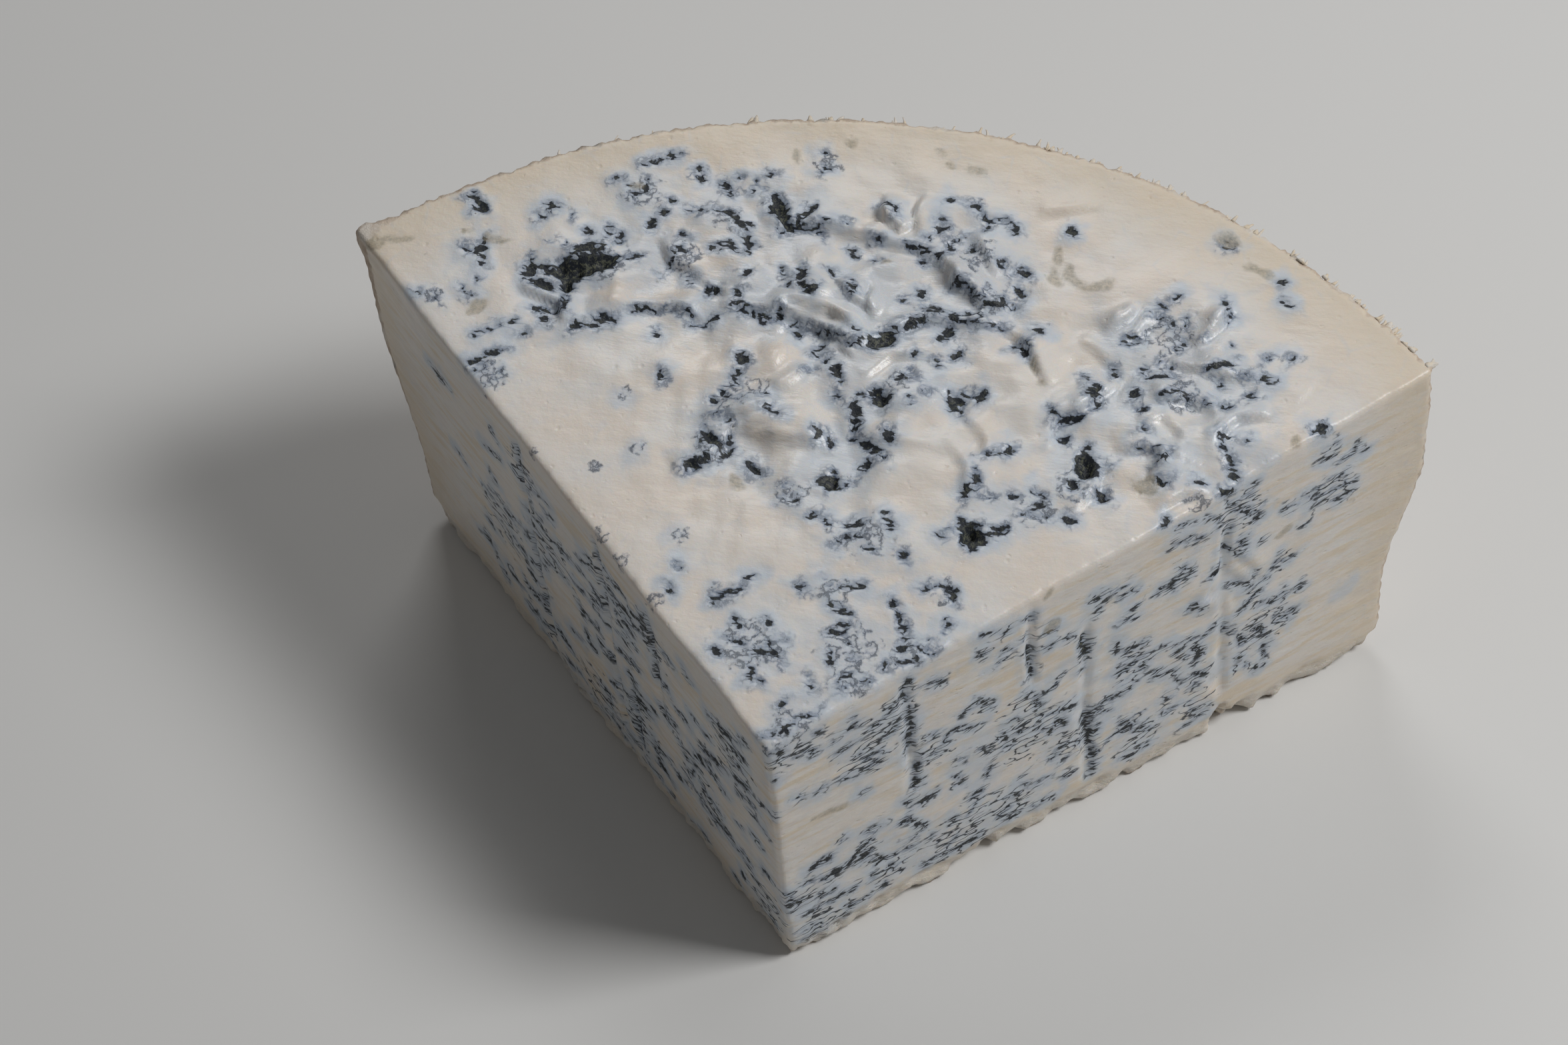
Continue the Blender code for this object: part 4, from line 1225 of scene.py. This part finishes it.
def crumb_places(count, size):
    """Bent, flattened cones of rind that stand out from the rim's edge.

    Each is a ring of points carried along a short curve, which leans along the rim with the square
    of the way. The ring's radius falls as the root of what is left of the way, roughened at random.
    """
    rng = np.random.default_rng(91)
    turn = HALF_ANGLE * 0.985 * np.clip(rng.normal(0.55, 0.55, count), -1.0, 1.0)
    length = size * rng.uniform(0.25, 1.0, count) ** 2.2
    width = size * rng.uniform(0.12, 0.3, count)
    lean = rng.normal(0.0, 0.8, count)
    lift = rng.uniform(-0.3, 0.35, count)
    root = wedge_places(np.ones(count), turn, np.ones(count))
    root[:, 2] -= rng.uniform(0.3, 1.4, count)
    from_axis = root[:, :2] - AXIS
    level = from_axis / np.linalg.norm(from_axis, axis=1, keepdims=True)
    outward = np.column_stack([level, lift])
    outward /= np.linalg.norm(outward, axis=1, keepdims=True)
    along = np.column_stack([outward[:, 1], -outward[:, 0], np.zeros(count)])
    upward = np.cross(outward, along)
    root = root - outward * CRUMB_ROOT
    share = np.linspace(0.0, 1.0, CRUMB_RINGS)
    angle = 2.0 * pi * np.arange(CRUMB_SIDES) / CRUMB_SIDES
    out = share[None, :, None] * (length[:, None, None] + CRUMB_ROOT)
    aside = share[None, :, None] ** 2 * (lean * length)[:, None, None] * 0.5
    way = root[:, None] + outward[:, None] * out + along[:, None] * aside
    radius = width[:, None] * np.sqrt(1.1 - share)[None, :] * rng.uniform(0.6, 1.4, (count, CRUMB_RINGS))
    wide = along[:, None, None] * np.cos(angle)[None, None, :, None] * 1.5
    high = upward[:, None, None] * np.sin(angle)[None, None, :, None] * 0.7
    ring = wide + high
    return (way[:, :, None] + ring * radius[:, :, None, None]).reshape(-1, 3)


def crumb_faces(count):
    """The four-cornered faces between the rings of each crumb, and its two caps."""
    rings = np.arange(count * CRUMB_RINGS * CRUMB_SIDES).reshape(count, CRUMB_RINGS, CRUMB_SIDES)
    following = np.roll(rings, -1, axis=2)
    walls = np.stack([rings[:, :-1], following[:, :-1], following[:, 1:], rings[:, 1:]], axis=-1)
    return walls.reshape(-1, 4).tolist() + rings[:, 0, ::-1].tolist() + rings[:, -1].tolist()


# ---------------------------------------------------------------------------------------------
# Settings
# ---------------------------------------------------------------------------------------------
def tint(name, default, description):
    """A colour property."""
    return bpy.props.FloatVectorProperty(
        name=name, description=description, subtype="COLOR", size=3, min=0.0, max=1.0, default=default
    )


def number(name, default, description, least=0.0, **more):
    """A number property."""
    return bpy.props.FloatProperty(
        name=name, description=description, default=default, min=least, **more
    )


def power(name, default, description):
    """A lamp's power."""
    return number(name, default, description, subtype="POWER", unit="POWER")


class CheeseSettings(bpy.types.PropertyGroup):
    """Sizes and colours of the cheese."""

    paste_colour: tint("Paste", (0.79, 0.715, 0.635), "The paste away from the veins")
    cool_paste_colour: tint("Cool paste", (0.77, 0.745, 0.71), "The paler patches of the paste")
    rim_paste_colour: tint("Paste by the rind", (0.72, 0.61, 0.46), "The drier paste by the rind")
    haze_colour: tint("Bloom", (0.55, 0.62, 0.70), "The bluish-white paste round the veins")
    fringe_colour: tint("Fringe", (0.155, 0.205, 0.30), "The grey-blue edge of a vein")
    vein_colour: tint("Vein", (0.017, 0.021, 0.028), "The blue-black mould in a vein")
    olive_colour: tint("Olive", (0.12, 0.125, 0.09), "The olive growth in old veins")
    rind_colour: tint("Rind", (0.66, 0.555, 0.45), "The dry rind")
    rind_shade_colour: tint("Rind shade", (0.50, 0.39, 0.30), "The darker grain of the rind")
    rind_blue_colour: tint("Rind mould", (0.36, 0.38, 0.37), "Blue-grey mould on the rind")
    powder_colour: tint("Powder", (0.74, 0.69, 0.62), "The pale powder on the rind")
    pocket_depth: number(
        "Pocket depth", 1.0, "How far a pocket sinks for each millimetre of its half-width", max=2.0
    )
    fold_height: number("Fold height", 1.0, "Strength of the folds in the top", max=2.0)
    rind_grain: number("Rind grain", 0.5, "Height of the rind's grain in millimetres", max=1.0)
    grain_height: number(
        "Grain height", 0.00025, "Height of the finest grain", max=0.001, subtype="DISTANCE", unit="LENGTH"
    )
    translucency: number(
        "Translucency", 0.4, "How much light the paste lets in", max=1.0, subtype="FACTOR"
    )


class CrumbSettings(bpy.types.PropertyGroup):
    """Crumbs along the rim."""

    count: bpy.props.IntProperty(
        name="Count", description="How many crumbs stand along the rim", default=150, min=0, max=1000
    )
    size: number("Size", 1.9, "Length of the longest crumb in millimetres", 0.1, max=3.0)


class StageSettings(bpy.types.PropertyGroup):
    """Floor, light and camera."""

    floor_colour: tint("Floor", (0.74, 0.735, 0.72), "The plain pale floor")
    key_power: power("Key", 9.2, "Power of the large soft light")
    fill_power: power("Fill", 0.35, "Power of the weak light opposite")
    back_power: power("Back", 3.2, "Power of the light behind")
    sky_strength: number("Sky", 0.09, "Strength of the even light from all round")
    lens: number("Lens", 84.2, "Focal length on a 36 mm sensor", 10.0, max=300.0, unit="CAMERA")
    camera_place: bpy.props.FloatVectorProperty(
        name="Camera",
        description="Where the camera stands",
        default=(0.1277, -0.4403, 0.6253),
        subtype="TRANSLATION",
        unit="LENGTH",
    )
    camera_turn: bpy.props.FloatVectorProperty(
        name="Camera turn",
        description="How the camera is turned",
        default=(radians(38.36), radians(3.98), radians(13.05)),
        subtype="EULER",
        unit="ROTATION",
    )


# ---------------------------------------------------------------------------------------------
# Operators
# ---------------------------------------------------------------------------------------------
class CHEESE_OT_wedge(bpy.types.Operator):
    """Builds the wedge's surface with its veins, folds and rind"""

    bl_idname = "cheese.wedge"
    bl_label = "Wedge"

    def execute(self, context):
        settings = context.scene.cheese
        places, quads, outer, fields = shaped_wedge(settings)
        piece = make_object("cheese", places, quads.tolist() + outer, cheese_material(settings))
        add_fields(piece.data, fields)
        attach(piece, "root")
        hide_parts(NODE)
        return {"FINISHED"}


class CHEESE_OT_rim_crumbs(bpy.types.Operator):
    """Builds the torn crumbs along the rim"""

    bl_idname = "cheese.rim_crumbs"
    bl_label = "Rim crumbs"

    def execute(self, context):
        crumbs = context.scene.cheese_crumbs
        places = crumb_places(crumbs.count, crumbs.size)
        material = crumb_material(context.scene.cheese)
        piece = make_object("rim_crumbs", places, crumb_faces(crumbs.count), material)
        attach(piece, "root")
        return {"FINISHED"}


FLOOR_SIZE = 3.0  # metres
FLOOR_ROUGHNESS = 0.7
# The lamps' sizes and places, in metres
LAMPS = (
    ("key", 0.4, (0.80, 0.10, 1.0)),
    ("fill", 0.9, (-0.9, -0.5, 0.7)),
    ("back", 0.5, (-0.3, 0.95, 1.05)),
)


def area_light(name, watts, size, place, target):
    """A square lamp at place that faces target."""
    lamp = bpy.data.lights.new(name, "AREA")
    lamp.energy = watts
    lamp.size = size
    holder = bpy.data.objects.new(name, lamp)
    holder.location = place
    x, y, z = np.array(target) - np.array(place)
    holder.rotation_euler = (np.arctan2(np.hypot(x, y), -z), 0.0, np.arctan2(y, x) - pi / 2)
    bpy.context.scene.collection.objects.link(holder)


class CHEESE_OT_stage(bpy.types.Operator):
    """Sets out the floor, the lights and the camera"""

    bl_idname = "cheese.stage"
    bl_label = "Stage"

    def execute(self, context):
        stage = context.scene.cheese_stage
        half = FLOOR_SIZE / 2 / METRES
        corners = np.array([(-1, -1, 0), (1, -1, 0), (1, 1, 0), (-1, 1, 0)]) * half
        finish = plain_material("floor", stage.floor_colour, FLOOR_ROUGHNESS)
        floor = make_object("floor", corners, [(0, 1, 2, 3)], finish)
        middle = (0.0, 0.0, HIGH[2] * METRES / 2)
        powers = (stage.key_power, stage.fill_power, stage.back_power)
        for (name, size, place), watts in zip(LAMPS, powers):
            area_light(name, watts, size, place, middle)
        world = bpy.data.worlds.new("studio")
        world.use_nodes = True
        background = world.node_tree.nodes["Background"]
        background.inputs["Color"].default_value = (1.0, 1.0, 1.0, 1.0)
        background.inputs["Strength"].default_value = stage.sky_strength
        context.scene.world = world
        context.scene.view_settings.view_transform = "Standard"
        camera = bpy.data.objects.new("camera", bpy.data.cameras.new("camera"))
        camera.data.lens = stage.lens
        camera.data.sensor_width = 36.0
        camera.location = stage.camera_place
        camera.rotation_euler = stage.camera_turn
        context.scene.collection.objects.link(camera)
        context.scene.camera = camera
        return {"FINISHED"}


class CHEESE_PT_panel(bpy.types.Panel):
    """Builds the cheese from the sidebar"""

    bl_label = "Blue Cheese Wedge"
    bl_idname = "CHEESE_PT_panel"
    bl_space_type = "VIEW_3D"
    bl_region_type = "UI"
    bl_category = "Cheese"

    def draw(self, context):
        scene = context.scene
        groups = (scene.cheese, scene.cheese_crumbs, scene.cheese_stage)
        for settings, operator in zip(groups, OPERATORS):
            box = self.layout.box()
            for name in settings.__annotations__:
                box.prop(settings, name)
            box.operator(operator.bl_idname)


SETTINGS = {"cheese": CheeseSettings, "cheese_crumbs": CrumbSettings, "cheese_stage": StageSettings}
OPERATORS = (CHEESE_OT_wedge, CHEESE_OT_rim_crumbs, CHEESE_OT_stage)
CLASSES = (*SETTINGS.values(), *OPERATORS, CHEESE_PT_panel)


def register():
    """Makes the classes and the scene's settings known."""
    for each in CLASSES:
        bpy.utils.register_class(each)
    for name, group in SETTINGS.items():
        setattr(bpy.types.Scene, name, bpy.props.PointerProperty(type=group))


def unregister():
    """Takes them away again."""
    for name in SETTINGS:
        delattr(bpy.types.Scene, name)
    for each in reversed(CLASSES):
        bpy.utils.unregister_class(each)


def main():
    """Builds everything."""
    register()
    bpy.ops.cheese.wedge()
    bpy.ops.cheese.rim_crumbs()
    bpy.ops.cheese.stage()


if __name__ == "__main__":
    main()
